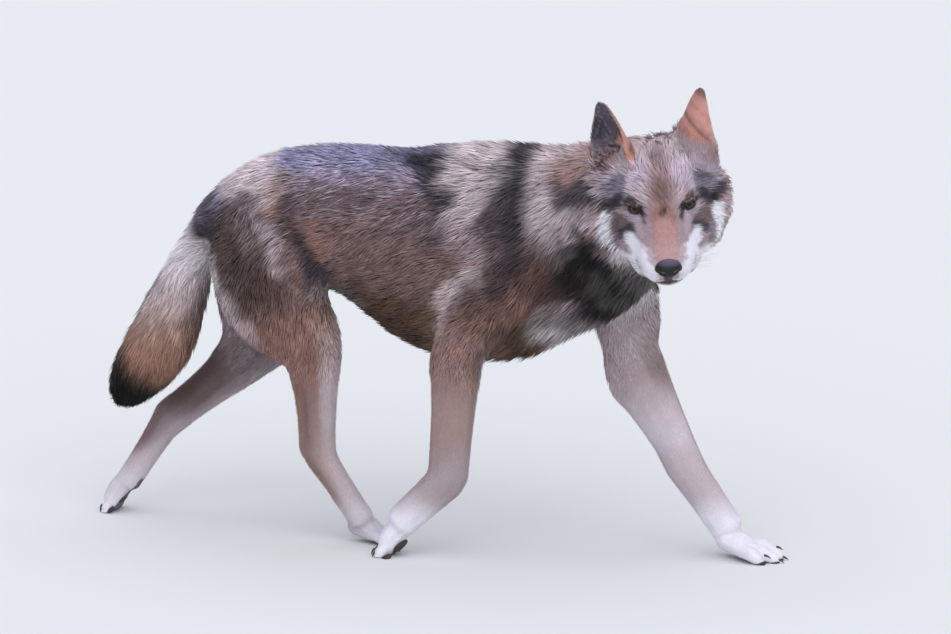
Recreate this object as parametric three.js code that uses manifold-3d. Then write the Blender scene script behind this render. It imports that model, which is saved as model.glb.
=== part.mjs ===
// A life-size grey wolf at the trot, its head turned to its right.
// Millimetres, +X the way it travels, +Y its left, +Z up, the floor at z = 0.
import * as THREE from 'three';
import Module from 'manifold-3d';

const wasm = await Module();
wasm.setup();

// ---------------------------------------------------------------- driving sizes
const gap = 0.3;                 // clearance between neighbouring pieces
const withers = 720;             // height of the back over the shoulders
const trunkHalf = 122;           // widest half breadth of the ribs, coat included
const eyeRadius = 12;
const eyeSpread = 45;            // each eye from the middle of the face
const earLength = { right: 113, left: 123 };
const earBase = { right: 96, left: 112 };    // breadth of each leaf at its root
const earShell = 6;
const earTurn = { right: 38, left: 116 };   // how far each ear opens outwards, in degrees
const foreTrack = 88;            // each shoulder from the middle line
const hindTrack = 66;            // each hip from the middle line

// joints of each leg: [forward, left, up]
const limbs = {
  foreRight: {
    shoulder: [112, -foreTrack, 528], elbow: [4, -foreTrack - 4, 376],
    carpus: [-14, -96, 138], knuckle: [-100, -106, 58], chest: 0, point: 0,
  },
  foreLeft: {
    shoulder: [216, foreTrack, 508], elbow: [254, foreTrack - 4, 372],
    carpus: [364, 66, 150], knuckle: [440, 54, 50], chest: 14, point: 26,
  },
  hindRight: {
    hip: [-372, -hindTrack, 560], knee: [-262, -84, 372],
    hock: [-266, -56, 158], knuckle: [-194, -40, 40], fringe: 0, breech: 30,
  },
  hindLeft: {
    hip: [-386, hindTrack, 556], knee: [-392, 80, 332],
    hock: [-592, 64, 168], knuckle: [-668, 54, 54], fringe: 20, breech: 0,
  },
};

// ---------------------------------------------------------------- materials
const coat = (name, colour) => new THREE.MeshStandardMaterial({ name, color: colour, roughness: 0.9 });
const materials = {
  saddle: coat('saddle', '#6b665f'),
  ruff: coat('ruff', '#8f8377'),
  face: coat('face', '#a8988c'),
  ear: coat('ear', '#8a6c58'),
  thigh: coat('thigh', '#8b7a6c'),
  shank: coat('shank', '#b09c8c'),
  paw: coat('paw', '#c9c0b6'),
  tail: coat('tail', '#8f7c6d'),
  tailTip: coat('tailTip', '#2b2827'),
  eye: new THREE.MeshStandardMaterial({ name: 'eye', color: '#9a6a2c', roughness: 0.1 }),
  nose: new THREE.MeshStandardMaterial({ name: 'nose', color: '#161617', roughness: 0.45 }),
};

// ---------------------------------------------------------------- small helpers
const vec = (p) => new THREE.Vector3(...p);
const mix = (a, b, t) => a + (b - a) * t;
const mixPoint = (a, b, t) => a.map((value, i) => mix(value, b[i], t));
const clamp = (value, low, high) => Math.min(Math.max(value, low), high);
const left = new THREE.Vector3(0, 1, 0);

// Catmull-Rom through rows of numbers, at a place between 0 and 1.
function along(rows, place) {
  const last = rows.length - 1;
  const i = Math.min(Math.floor(place * last), last - 1);
  const t = place * last - i;
  const [p0, p1, p2, p3] = [-1, 0, 1, 2].map((step) => rows[clamp(i + step, 0, last)]);
  return p1.map((value, k) => {
    const slopeIn = (p2[k] - p0[k]) / 2;
    const slopeOut = (p3[k] - value) / 2;
    const a = 2 * value - 2 * p2[k] + slopeIn + slopeOut;
    const b = -3 * value + 3 * p2[k] - 2 * slopeIn - slopeOut;
    return ((a * t + b) * t + slopeIn) * t + value;
  });
}

// A closed manifold from rings of points with a pole at each end.
function closeRings(rings, firstPole, lastPole) {
  const sides = rings[0].length;
  const points = [...rings.flat(), firstPole, lastPole];
  const first = points.length - 2;
  const last = points.length - 1;
  const at = (ring, side) => ring * sides + (side % sides);
  const faces = [];
  for (let s = 0; s < sides; s += 1) {
    faces.push([first, at(0, s + 1), at(0, s)]);
    faces.push([last, at(rings.length - 1, s), at(rings.length - 1, s + 1)]);
    for (let r = 0; r + 1 < rings.length; r += 1) {
      faces.push([at(r, s), at(r, s + 1), at(r + 1, s + 1)]);
      faces.push([at(r, s), at(r + 1, s + 1), at(r + 1, s)]);
    }
  }
  return solid(points, faces);
}

// A solid from points and triangles, turned right side out.
function solid(points, faces) {
  let volume = 0;
  for (const [a, b, c] of faces) {
    volume += points[a].dot(new THREE.Vector3().crossVectors(points[b], points[c]));
  }
  const order = volume < 0 ? faces.map(([a, b, c]) => [a, c, b]) : faces;
  return new wasm.Manifold(new wasm.Mesh({
    numProp: 3,
    vertProperties: new Float32Array(points.flatMap((p) => [p.x, p.y, p.z])),
    triVerts: new Uint32Array(order.flat()),
  }));
}

// A fleshy length: rows of [x, y, z, fore, aft, side] with rounded ends.
// fore and aft are the depths ahead of and behind the centre line, side the half breadth.
function limb(rows, shape = {}) {
  const { sides = 16, steps = 4, grow = 0, ends = [0.8, 0.8], across = left, swell = [46] } = shape;
  const count = (rows.length - 1) * steps;
  const spots = Array.from({ length: count + 1 }, (_, i) => along(rows, i / count));
  const centre = spots.map((spot) => vec(spot.slice(0, 3)));
  const ringAt = (i, shift, scale) => {
    const ahead = centre[Math.min(i + 1, count)].clone().sub(centre[Math.max(i - 1, 0)]).normalize();
    const fore = new THREE.Vector3().crossVectors(ahead, across).normalize();
    const side = new THREE.Vector3().crossVectors(fore, ahead).normalize();
    const [, , , foreDepth, aftDepth, half] = spots[i];
    const middle = centre[i].clone().addScaledVector(ahead, shift);
    return Array.from({ length: sides }, (_, s) => {
      const angle = 2 * Math.PI * s / sides;
      const depth = (Math.cos(angle) > 0 ? foreDepth : aftDepth) + grow;
      return middle.clone()
        .addScaledVector(fore, Math.cos(angle) * depth * scale)
        .addScaledVector(side, Math.sin(angle) * (half + grow) * scale);
    });
  };
  const reach = (i, end) => end * (spots[i][3] + spots[i][4] + 2 * spots[i][5]) / 4 + grow;
  const turns = swell.map((degrees) => degrees * Math.PI / 180);
  const startReach = reach(0, ends[0]);
  const endReach = reach(count, ends[1]);
  const rings = [
    ...turns.map((turn) => ringAt(0, -Math.sin(turn) * startReach, Math.cos(turn))),
    ...spots.map((_, i) => ringAt(i, 0, 1)),
    ...turns.toReversed().map((turn) => ringAt(count, Math.sin(turn) * endReach, Math.cos(turn))),
  ];
  const direction = (i, j) => centre[j].clone().sub(centre[i]).normalize();
  const firstPole = centre[0].clone().addScaledVector(direction(0, 1), -startReach);
  const lastPole = centre[count].clone().addScaledVector(direction(count - 1, count), endReach);
  return closeRings(rings, firstPole, lastPole);
}

// Rows for a bone between two joints: profile rows are [place, fore, aft, side, bow].
function boneRows(from, to, profile) {
  const ahead = vec(to).sub(vec(from)).normalize();
  const fore = new THREE.Vector3().crossVectors(ahead, left).normalize();
  return profile.map(([place, foreDepth, aftDepth, side, bow = 0]) => {
    const spot = vec(mixPoint(from, to, place)).addScaledVector(fore, bow);
    return [spot.x, spot.y, spot.z, foreDepth, aftDepth, side];
  });
}

// The largest piece of a body, where a cut has left slivers beside it.
function mainBody(body) {
  const { numProp, vertProperties, triVerts } = body.getMesh();
  const parent = Array.from({ length: vertProperties.length / numProp }, (_, i) => i);
  const rootOf = (i) => {
    let at = i;
    while (parent[at] !== at) at = parent[at];
    return at;
  };
  const corner = (i) => new THREE.Vector3(...vertProperties.subarray(i * numProp, i * numProp + 3));
  for (let i = 0; i < triVerts.length; i += 3) {
    const root = rootOf(triVerts[i]);
    parent[rootOf(triVerts[i + 1])] = root;
    parent[rootOf(triVerts[i + 2])] = root;
  }
  const pieces = new Map();
  for (let i = 0; i < triVerts.length; i += 3) {
    const face = [...triVerts.subarray(i, i + 3)];
    const piece = pieces.get(rootOf(face[0])) ?? { faces: [], size: 0 };
    const [a, b, c] = face.map(corner);
    piece.size += a.dot(b.cross(c));
    piece.faces.push(face);
    pieces.set(rootOf(face[0]), piece);
  }
  if (pieces.size === 1) return body;
  const { faces } = [...pieces.values()].sort((a, b) => b.size - a.size)[0];
  const used = [...new Set(faces.flat())];
  const place = new Map(used.map((old, fresh) => [old, fresh]));
  return solid(used.map(corner), faces.map((face) => face.map((old) => place.get(old))));
}

function cutAll(body, ...tools) {
  return mainBody(tools.reduce((rest, tool) => rest.subtract(tool), body));
}

// ---------------------------------------------------------------- trunk
// Rows of [x, top, bottom, half breadth, keel], keel narrowing the lower half.
const trunkStations = [
  [-470, 613, 500, 0.5, 0.0],
  [-430, 650, 474, 0.68, 0.05],
  [-370, 681, 456, 0.8, 0.1],
  [-300, 696, 446, 0.85, 0.15],
  [-236, 701, 430, 0.87, 0.2],
  [-170, 701, 376, 0.89, 0.25],
  [-96, 700, 336, 0.95, 0.3],
  [-20, withers - 7, 324, 1.0, 0.35],
  [60, withers, 324, 0.98, 0.4],
  [130, withers - 6, 342, 0.9, 0.4],
  [190, 690, 378, 0.74, 0.35],
];

function trunkBody(grow = 0) {
  const sides = 18;
  const steps = 2;
  const count = (trunkStations.length - 1) * steps;
  const ringAt = (place, shift = 0, scale = 1) => {
    const [x, top, bottom, breadth, keel] = along(trunkStations, place);
    const middle = mix(bottom, top, 0.55);
    return Array.from({ length: sides }, (_, s) => {
      const angle = 2 * Math.PI * s / sides;
      const rise = Math.sign(Math.cos(angle)) * Math.abs(Math.cos(angle)) ** 0.92;
      const reach = Math.sign(Math.sin(angle)) * Math.abs(Math.sin(angle)) ** 0.85;
      const height = (rise > 0 ? top - middle : middle - bottom) + grow;
      const narrow = 1 - keel * Math.max(-rise, 0) ** 2;
      const half = breadth * trunkHalf * narrow + grow;
      return new THREE.Vector3(x + shift, reach * half * scale, middle + rise * height * scale);
    });
  };
  const swell = [64, 32].map((degrees) => degrees * Math.PI / 180);
  const back = 34 + grow;
  const front = 62 + grow;
  const rings = [
    ...swell.map((turn) => ringAt(0, -Math.sin(turn) * back, Math.cos(turn))),
    ...Array.from({ length: count + 1 }, (_, i) => ringAt(i / count)),
    ...[...swell].reverse().map((turn) => ringAt(1, Math.sin(turn) * front, Math.cos(turn))),
  ];
  const poleOf = (row, shift) => new THREE.Vector3(row[0] + shift, 0, mix(row[2], row[1], 0.55));
  return closeRings(rings, poleOf(trunkStations[0], -back), poleOf(trunkStations.at(-1), front));
}

// ---------------------------------------------------------------- neck and tail
const headPlace = { eyes: [382, -200, 655], yaw: 20.5, pitch: 27, roll: 5.5 };

const neckRows = [
  [104, 0, 556, 150, 196, 104],
  [170, -4, 574, 152, 188, 116],
  [226, -20, 602, 134, 168, 120],
  [272, -50, 630, 118, 146, 122],
  [306, -88, 648, 106, 126, 122],
  [332, -128, 656, 96, 108, 114],
];
const neckBody = (grow = 0) => limb(neckRows, { sides: 16, steps: 2, grow, ends: [0.5, 0.4] });

const tailRows = [
  [-452, 0, 590, 40, 40, 32],
  [-496, 0, 530, 44, 36, 38],
  [-536, -2, 452, 62, 42, 46],
  [-572, -4, 372, 80, 50, 52],
  [-608, -6, 300, 78, 54, 50],
  [-640, -8, 246, 54, 46, 40],
];
const tailTipCut = { through: [-612, -6, 292], facing: [-38, 0, -76] };
const tailBody = (grow = 0) => limb(tailRows, { sides: 10, steps: 2, grow, ends: [0.6, 1.1] });

// ---------------------------------------------------------------- legs
// chest is fur ahead of the upper arm, point fur behind the elbow, fringe fur behind the knee,
// breech the long fur behind the thigh.
const upperArmProfile = ({ chest }) => [
  [-0.4, 40, 44, 22], [-0.1, 60, 66, 36], [0.3, 64 + chest, 76, 42],
  [0.7, 56 + chest, 66, 41], [1, 46 + chest, 54, 37],
];
const forearmProfile = ({ point }) => [
  [0, 45, 58, 38], [0.28, 40, 53 + point, 36], [0.5, 36, 46 + point * 0.6, 33],
  [0.8, 33, 44, 30], [1, 33, 42, 31],
];
const thighProfile = ({ fringe, breech }) => [
  [-0.2, 50, 64, 26], [0, 78, 116, 42], [0.35, 84, 132 + breech * 0.3, 50],
  [0.7, 66, 104 + fringe / 2 + breech, 48], [1, 50, 76 + fringe + breech * 0.6, 42],
];
const shankProfile = ({ fringe, breech }) => [
  [0, 52, 66 + fringe + breech * 0.6, 40], [0.25, 46, 57 + fringe / 2, 37], [0.5, 40, 46, 30],
  [0.78, 34, 40, 24], [1, 33, 41, 23],
];
const forePasternProfile = [[0, 32, 40, 30], [0.5, 30, 35, 28], [1, 29, 32, 33]];
const hindPasternProfile = [[0, 30, 34, 22], [0.4, 26, 28, 20], [0.8, 25, 25, 22], [1, 25, 24, 26]];

// ---------------------------------------------------------------- paws
// Built toes forward along +X from the knuckles, then turned to the leg.
function pawBody({ place, heading, pitch, length, breadth, grow = 0 }) {
  const toes = [
    { side: -1.45, reach: 0.74, size: 0.94 }, { side: -0.5, reach: 1, size: 1 },
    { side: 0.5, reach: 1, size: 1 }, { side: 1.45, reach: 0.74, size: 0.94 },
  ];
  const thick = breadth * 0.155;
  const pitchBy = new THREE.Matrix4().makeRotationY(pitch * Math.PI / 180);
  const turnBy = new THREE.Matrix4().makeRotationZ(heading * Math.PI / 180);
  const move = new THREE.Matrix4().makeTranslation(...place).multiply(turnBy).multiply(pitchBy);
  const set = (row) => {
    const spot = vec(row.slice(0, 3)).applyMatrix4(move);
    return [spot.x, spot.y, spot.z, ...row.slice(3)];
  };
  const across = left.clone().transformDirection(move);
  const palm = limb([
    set([-18, 0, 4, 22, 22, breadth * 0.32]),
    set([10, 0, -2, 22, 22, breadth * 0.4]),
    set([length * 0.34, 0, -10, 18, 17, breadth * 0.4]),
  ], { sides: 8, steps: 1, grow, across, ends: [0.7, 0.7] });
  return toes.reduce((paw, { side, reach, size }) => {
    const tip = length * reach;
    const lane = side * breadth * 0.235;
    const r = thick * size;
    const toe = limb([
      set([length * 0.2, lane * 0.82, -6, r, r, r * 0.9]),
      set([tip * 0.62, lane, -8, r * 1.1, r * 1.1, r * 1.02]),
      set([tip * 0.86, lane * 1.02, -16, r * 0.96, r * 0.9, r * 0.95]),
    ], { sides: 6, steps: 1, grow, across, ends: [0.8, 0.9] });
    const claw = limb([
      set([tip * 0.86, lane * 1.02, -12, 4.4, 4.4, 3.6]),
      set([tip * 1.06, lane * 1.03, -18, 2.4, 2.4, 2]),
    ], { sides: 4, steps: 1, grow, across, ends: [0.5, 1.6], swell: [] });
    return paw.add(toe).add(claw);
  }, palm);
}

const paws = {
  foreRight: { place: [-114, -108, 34], heading: 180, pitch: 42, length: 62, breadth: 76 },
  foreLeft: { place: [454, 50, 27], heading: -6, pitch: 4, length: 86, breadth: 93 },
  hindRight: { place: [-190, -33, 26], heading: 2, pitch: 6, length: 66, breadth: 68 },
  hindLeft: { place: [-686, 50, 34], heading: 180, pitch: 46, length: 58, breadth: 72 },
};

// ---------------------------------------------------------------- head
// Head frame: u to the muzzle, v to the wolf's left, w up, all from midway between the eyes.
const headTurn = new THREE.Matrix4()
  .makeTranslation(...headPlace.eyes)
  .multiply(new THREE.Matrix4().makeRotationZ((headPlace.yaw - 90) * Math.PI / 180))
  .multiply(new THREE.Matrix4().makeRotationY(headPlace.pitch * Math.PI / 180))
  .multiply(new THREE.Matrix4().makeRotationX(headPlace.roll * Math.PI / 180));

const blend = (a, b, soft) => {
  const near = Math.max(soft - Math.abs(a - b), 0) / soft;
  return Math.min(a, b) - near * near * soft / 4;
};

const ball = (centre, radii) => (p) => {
  const q = [0, 1, 2].map((i) => (p[i] - centre[i]) / radii[i]);
  const span = Math.hypot(...q);
  const steep = Math.hypot(...q.map((value, i) => value / radii[i]));
  return steep > 0 ? span * (span - 1) / steep : -Math.min(...radii);
};

// A tapered bar from a to b, its breadth scaled by wide.
const bar = (a, b, ra, rb, wide = 1) => (p) => {
  const axis = b.map((value, i) => value - a[i]);
  const rest = p.map((value, i) => value - a[i]);
  const reach = axis.reduce((sum, value, i) => sum + value * rest[i], 0);
  const t = clamp(reach / axis.reduce((sum, value) => sum + value * value, 0), 0, 1);
  const off = rest.map((value, i) => value - axis[i] * t);
  return Math.hypot(off[0], off[1] / wide, off[2]) - mix(ra, rb, t);
};

const bothSides = (maker) => [maker(-1), maker(1)];
const headForms = [
  bar([88, 0, -54], [16, 0, -42], 25, 37, 1.4),                             // muzzle
  bar([92, 0, -40], [14, 0, -9], 13, 21, 1.4),                              // bridge of the nose
  bar([82, 0, -86], [-10, 0, -90], 18, 34, 1.45),                           // lower jaw
  ball([-62, 0, 4], [84, 68, 56]),                                          // skull
  ball([-22, 0, 8], [44, 46, 27]),                                          // forehead
  ball([-108, 0, 12], [52, 92, 56]),                                        // nape
  ball([-60, 0, -96], [66, 76, 50]),                                        // throat
  ...bothSides((s) => ball([-8, s * 32, 12], [30, 22, 14])),                // brows
  ...bothSides((s) => ball([-36, s * 52, -24], [52, 29, 28])),              // cheekbones
  ...bothSides((s) => ball([-40, s * 58, -66], [58, 40, 50])),              // jaw muscles
  ...bothSides((s) => ball([-88, s * 74, -58], [48, 62, 80])),              // ruff
  ...bothSides((s) => ball([-56, s * 64, -100], [56, 48, 44])),             // lower cheeks
  ...bothSides((s) => ball([14, s * 36, -82], [54, 28, 34])),               // jaw fringe
  ...bothSides((s) => ball([76, s * 22, -58], [26, 18, 22])),               // whisker beds
];

function headField(p) {
  return headForms.map((form) => form(p)).reduce((a, b) => blend(a, b, 22));
}

const headSpine = [[84, 0, -62], [40, 0, -56], [0, 0, -48], [-60, 0, -42], [-104, 0, -34]];

function headSkin(grow = 0) {
  const sides = 22;
  const count = 14;
  const cast = (origin, ray) => {
    let near = 0;
    let far = 4;
    const at = (r) => [origin.x + ray.x * r, origin.y + ray.y * r, origin.z + ray.z * r];
    while (headField(at(far)) < 0) {
      near = far;
      far += 4;
    }
    for (let i = 0; i < 12; i += 1) {
      const middle = (near + far) / 2;
      if (headField(at(middle)) < 0) near = middle;
      else far = middle;
    }
    return origin.clone().addScaledVector(ray, far + grow).applyMatrix4(headTurn);
  };
  const ringAt = (place, lean) => {
    const origin = vec(along(headSpine, place));
    return Array.from({ length: sides }, (_, s) => {
      const angle = 2 * Math.PI * s / sides;
      const ray = new THREE.Vector3(
        Math.sin(lean),
        Math.sin(angle) * Math.cos(lean),
        Math.cos(angle) * Math.cos(lean),
      );
      return cast(origin, ray);
    });
  };
  const leans = [66, 44, 22].map((degrees) => degrees * Math.PI / 180);
  const rings = [
    ...leans.map((lean) => ringAt(0, lean)),
    ...Array.from({ length: count + 1 }, (_, i) => ringAt(i / count, 0)),
    ...[...leans].reverse().map((lean) => ringAt(1, -lean)),
  ];
  const nosePole = cast(vec(headSpine[0]), new THREE.Vector3(1, 0, 0));
  const napePole = cast(vec(headSpine.at(-1)), new THREE.Vector3(-1, 0, 0));
  return closeRings(rings, nosePole, napePole);
}

// A ball in the head frame, stretched along u, v and w.
function headBall(centre, radii, grow = 0) {
  const [wide, high] = [10, 6];
  const spot = (row, s) => {
    const down = Math.PI * row / high;
    const round = 2 * Math.PI * s / wide;
    return new THREE.Vector3(
      centre[0] + (radii[0] + grow) * Math.sin(down) * Math.cos(round),
      centre[1] + (radii[1] + grow) * Math.sin(down) * Math.sin(round),
      centre[2] + (radii[2] + grow) * Math.cos(down),
    ).applyMatrix4(headTurn);
  };
  const rings = Array.from({ length: high - 1 }, (_, r) =>
    Array.from({ length: wide }, (__, s) => spot(r + 1, s)));
  return closeRings(rings, spot(0, 0), spot(high, 0));
}

const eyeCentre = (s) => [4, s * eyeSpread, 0];
const eyeBall = (s, grow = 0) => headBall(eyeCentre(s), [eyeRadius, eyeRadius, eyeRadius], grow);
const eyeOpening = (s) => headBall([18, s * (eyeSpread + 4), 8], [15, 14, 9]);

function noseBody(grow = 0) {
  return headBall([110, 0, -47], [15, 22, 17], grow);
}

// An ear: a cupped leaf with an outside and an inside, closed round its edge.
function earBody(s) {
  const rows = 7;
  const sides = 6;
  const ear = s < 0 ? 'right' : 'left';
  const root = new THREE.Vector3(-84, s < 0 ? -60 : 55, 34);
  const tip = new THREE.Vector3(-100, s < 0 ? -88 : 85, 34 + earLength[ear]);
  const up = tip.clone().sub(root).normalize();
  const turn = earTurn[ear] * Math.PI / 180;
  const face = new THREE.Vector3(Math.cos(turn), s * Math.sin(turn), 0);
  const open = face.addScaledVector(up, -face.dot(up)).normalize();
  const wide = new THREE.Vector3().crossVectors(up, open).normalize();
  const length = root.distanceTo(tip);
  const spot = (row, side, inside) => {
    const t = 1 - (1 - row / rows) ** 1.5;
    const half = earBase[ear] / 2 * (1 - t) ** 0.55;
    const bend = mix(2.0, 0.8, t);
    const thick = inside ? earShell * (1 - 0.5 * t) : 0;
    const angle = (side / sides - 0.5) * 2 * bend;
    const radius = half / Math.sin(Math.min(bend, Math.PI / 2));
    const r = Math.max(radius - thick, 0.3 * radius);
    return root.clone()
      .addScaledVector(up, length * t)
      .addScaledVector(wide, Math.sin(angle) * r)
      .addScaledVector(open, radius * 0.4 - Math.cos(angle) * r * 0.85);
  };
  const outline = (row) => [
    ...Array.from({ length: sides + 1 }, (_, i) => spot(row, i, false)),
    ...Array.from({ length: sides + 1 }, (_, i) => spot(row, sides - i, true)),
  ];
  const rings = Array.from({ length: rows }, (_, row) => outline(row));
  const placed = rings.map((ring) => ring.map((p) => p.applyMatrix4(headTurn)));
  const end = tip.clone().applyMatrix4(headTurn);
  const points = [...placed.flat(), end];
  const sidesAll = placed[0].length;
  const at = (row, i) => row * sidesAll + (i % sidesAll);
  const faces = [];
  for (let row = 0; row + 1 < rows; row += 1) {
    for (let i = 0; i < sidesAll; i += 1) {
      faces.push([at(row, i), at(row, i + 1), at(row + 1, i + 1)]);
      faces.push([at(row, i), at(row + 1, i + 1), at(row + 1, i)]);
    }
  }
  for (let i = 0; i < sidesAll; i += 1) {
    faces.push([points.length - 1, at(rows - 1, i), at(rows - 1, i + 1)]);
  }
  for (let i = 0; i < sides; i += 1) {
    faces.push([at(0, i), at(0, sidesAll - 1 - i), at(0, i + 1)]);
    faces.push([at(0, i + 1), at(0, sidesAll - 1 - i), at(0, sidesAll - 2 - i)]);
  }
  return solid(points, faces);
}

// ---------------------------------------------------------------- the whole animal
function legRows(name) {
  const joint = limbs[name];
  if (name.startsWith('fore')) {
    return {
      upper_arm: boneRows(joint.shoulder, joint.elbow, upperArmProfile(joint)),
      forearm: boneRows(joint.elbow, joint.carpus, forearmProfile(joint)),
      pastern: boneRows(joint.carpus, joint.knuckle, forePasternProfile),
    };
  }
  return {
    thigh: boneRows(joint.hip, joint.knee, thighProfile(joint)),
    lower_leg: boneRows(joint.knee, joint.hock, shankProfile(joint)),
    pastern: boneRows(joint.hock, joint.knuckle, hindPasternProfile),
  };
}

const floorRing = (z) => [[-1, -1], [1, -1], [1, 1], [-1, 1]].map(([x, y]) => vec([x * 1200, y * 900, z]));
const floor = closeRings([floorRing(-80), floorRing(0)], vec([0, 0, -80]), vec([0, 0, 0]));

const bodies = [];
const add = (name, body, material) => bodies.push({ name, body, material });

const limbCuts = [];
for (const name of Object.keys(limbs)) {
  const rows = legRows(name);
  const isFore = name.startsWith('fore');
  const label = `${name.slice(0, 4)}_${name.slice(4).toLowerCase()}`;
  const [upperName, lowerName] = isFore ? ['upper_arm', 'forearm'] : ['thigh', 'lower_leg'];
  const upper = (grow = 0) => limb(rows[upperName], { sides: 12, steps: 2, grow });
  const lower = (grow = 0) => limb(rows[lowerName], { sides: 10, steps: 2, grow, ends: [0.7, 0.6] });
  const pastern = (grow = 0) => limb(rows.pastern, { sides: 10, steps: 1, grow, ends: [0.6, 0.5] });
  const paw = pawBody(paws[name]);
  add(`${label}_${upperName}`, upper(), materials.thigh);
  add(`${label}_${lowerName}`, cutAll(lower(), upper(gap)), materials.shank);
  if (isFore) {
    add(`${label}_paw`, cutAll(pastern().add(paw), lower(gap), floor), materials.paw);
  } else {
    const pawRoom = pawBody({ ...paws[name], grow: gap });
    add(`${label}_hock`, cutAll(pastern(), lower(gap), pawRoom), materials.shank);
    add(`${label}_paw`, cutAll(paw, lower(gap), floor), materials.paw);
  }
  limbCuts.push(upper(gap), lower(gap));
}

const head = headSkin();
const trunk = cutAll(trunkBody(), ...limbCuts, neckBody(gap));
const neck = cutAll(neckBody(), headSkin(gap), ...limbCuts);
add('trunk', trunk, materials.saddle);
add('neck', neck, materials.ruff);
const faceCuts = [-1, 1].flatMap((s) => [eyeBall(s, gap), eyeOpening(s)]);
add('head', cutAll(head, ...faceCuts, noseBody(gap)), materials.face);
add('nose', noseBody(), materials.nose);
add('eye_right', eyeBall(-1), materials.eye);
add('eye_left', eyeBall(1), materials.eye);
add('ear_right', cutAll(earBody(-1), headSkin(gap), neckBody(gap)), materials.ear);
add('ear_left', cutAll(earBody(1), headSkin(gap), neckBody(gap)), materials.ear);
const tail = cutAll(tailBody(), trunkBody(gap), ...limbCuts);
const tipWay = vec(tailTipCut.facing).normalize();
const tipStart = tipWay.dot(vec(tailTipCut.through));
add('tail', tail.trimByPlane(tipWay.clone().negate().toArray(), gap - tipStart), materials.tail);
add('tail_tip', tail.trimByPlane(tipWay.toArray(), tipStart), materials.tailTip);

// ---------------------------------------------------------------- the scene graph
function meshOf({ name, body, material }) {
  const { numProp, vertProperties, triVerts } = body.getMesh();
  const geometry = new THREE.BufferGeometry();
  const count = vertProperties.length / numProp;
  const positions = new Float32Array(count * 3);
  for (let i = 0; i < count; i += 1) {
    positions.set(vertProperties.subarray(i * numProp, i * numProp + 3), i * 3);
  }
  geometry.setAttribute('position', new THREE.BufferAttribute(positions, 3));
  geometry.setIndex(new THREE.BufferAttribute(new Uint32Array(triVerts), 1));
  geometry.computeVertexNormals();
  const mesh = new THREE.Mesh(geometry, material);
  mesh.name = name;
  return mesh;
}

const stance = new THREE.Group();
stance.add(...bodies.map(meshOf));
const box = new THREE.Box3().setFromObject(stance);
stance.position.set(-(box.min.x + box.max.x) / 2, -(box.min.y + box.max.y) / 2, -box.min.z);

const wolf = new THREE.Group();
wolf.name = 'wolf';
wolf.add(stance);

export default wolf;
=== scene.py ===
# A grey wolf at the trot: skin, coat, eyes, nose leather, pads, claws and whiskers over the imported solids.
import math
import bpy
import bmesh
import numpy as np
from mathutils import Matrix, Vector
from mathutils.bvhtree import BVHTree


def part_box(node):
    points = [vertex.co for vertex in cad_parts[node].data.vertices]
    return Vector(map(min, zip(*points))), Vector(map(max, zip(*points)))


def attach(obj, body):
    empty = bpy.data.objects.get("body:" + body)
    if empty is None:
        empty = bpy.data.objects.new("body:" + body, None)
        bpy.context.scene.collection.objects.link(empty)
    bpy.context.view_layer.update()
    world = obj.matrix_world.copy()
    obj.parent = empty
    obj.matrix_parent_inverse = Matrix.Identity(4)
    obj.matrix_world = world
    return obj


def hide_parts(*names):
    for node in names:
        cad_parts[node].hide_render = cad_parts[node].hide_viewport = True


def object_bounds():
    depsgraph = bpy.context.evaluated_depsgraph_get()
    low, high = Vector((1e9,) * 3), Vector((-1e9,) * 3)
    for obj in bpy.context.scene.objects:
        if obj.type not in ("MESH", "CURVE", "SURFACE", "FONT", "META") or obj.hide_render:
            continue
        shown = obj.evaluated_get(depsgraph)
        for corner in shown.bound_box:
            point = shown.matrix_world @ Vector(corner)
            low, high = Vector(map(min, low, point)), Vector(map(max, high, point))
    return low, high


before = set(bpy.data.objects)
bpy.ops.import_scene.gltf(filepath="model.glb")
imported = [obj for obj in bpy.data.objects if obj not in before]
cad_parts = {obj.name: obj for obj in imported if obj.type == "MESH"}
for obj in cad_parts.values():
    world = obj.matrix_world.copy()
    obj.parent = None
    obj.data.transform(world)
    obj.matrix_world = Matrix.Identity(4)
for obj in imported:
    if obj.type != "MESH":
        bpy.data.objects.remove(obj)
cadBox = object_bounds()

scene = bpy.context.scene
scene.view_settings.view_transform = "Standard"
scene.view_settings.look = "None"


def unit(v):
    v = np.asarray(v, float)
    return v / np.maximum(np.linalg.norm(v, axis=-1, keepdims=True), 1e-12)


def dot(a, b):
    return (a * b).sum(-1)


def ramp(x, low, high):  # 0 below low, 1 above high, smooth between
    t = np.clip((np.asarray(x, float) - low) / (high - low), 0, 1)
    return t * t * (3 - 2 * t)


def hump(x, middle, spread):  # 1 at the middle, falling away over the spread
    return np.exp(-((np.asarray(x, float) - middle) / spread) ** 2)


def lerp(a, b, t):
    return a + (b - a) * t


def normOf(rows):
    return np.linalg.norm(rows, axis=1)


def offLine(points, start, end):  # how far each point lies from a line between two places
    start, end = np.asarray(start, float), np.asarray(end, float)
    way = end - start
    along = np.clip((points - start) @ way / max(way @ way, 1e-9), 0, 1)
    return normOf(points - start - along[:, None] * way)


def ripple(points, size, seed):  # smooth random field between about -1 and 1
    rng = np.random.default_rng(seed)
    total = np.zeros(len(points))
    for _ in range(9):
        way = unit(rng.normal(size=3)) * rng.uniform(0.6, 1.6) * 2 * math.pi / size
        total += np.sin(points @ way + rng.uniform(0, 2 * math.pi))
    return total / 3.2


def cloud(name):
    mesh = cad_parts[name].data
    co = np.empty(len(mesh.vertices) * 3)
    mesh.vertices.foreach_get("co", co)
    return co.reshape(-1, 3)


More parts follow.
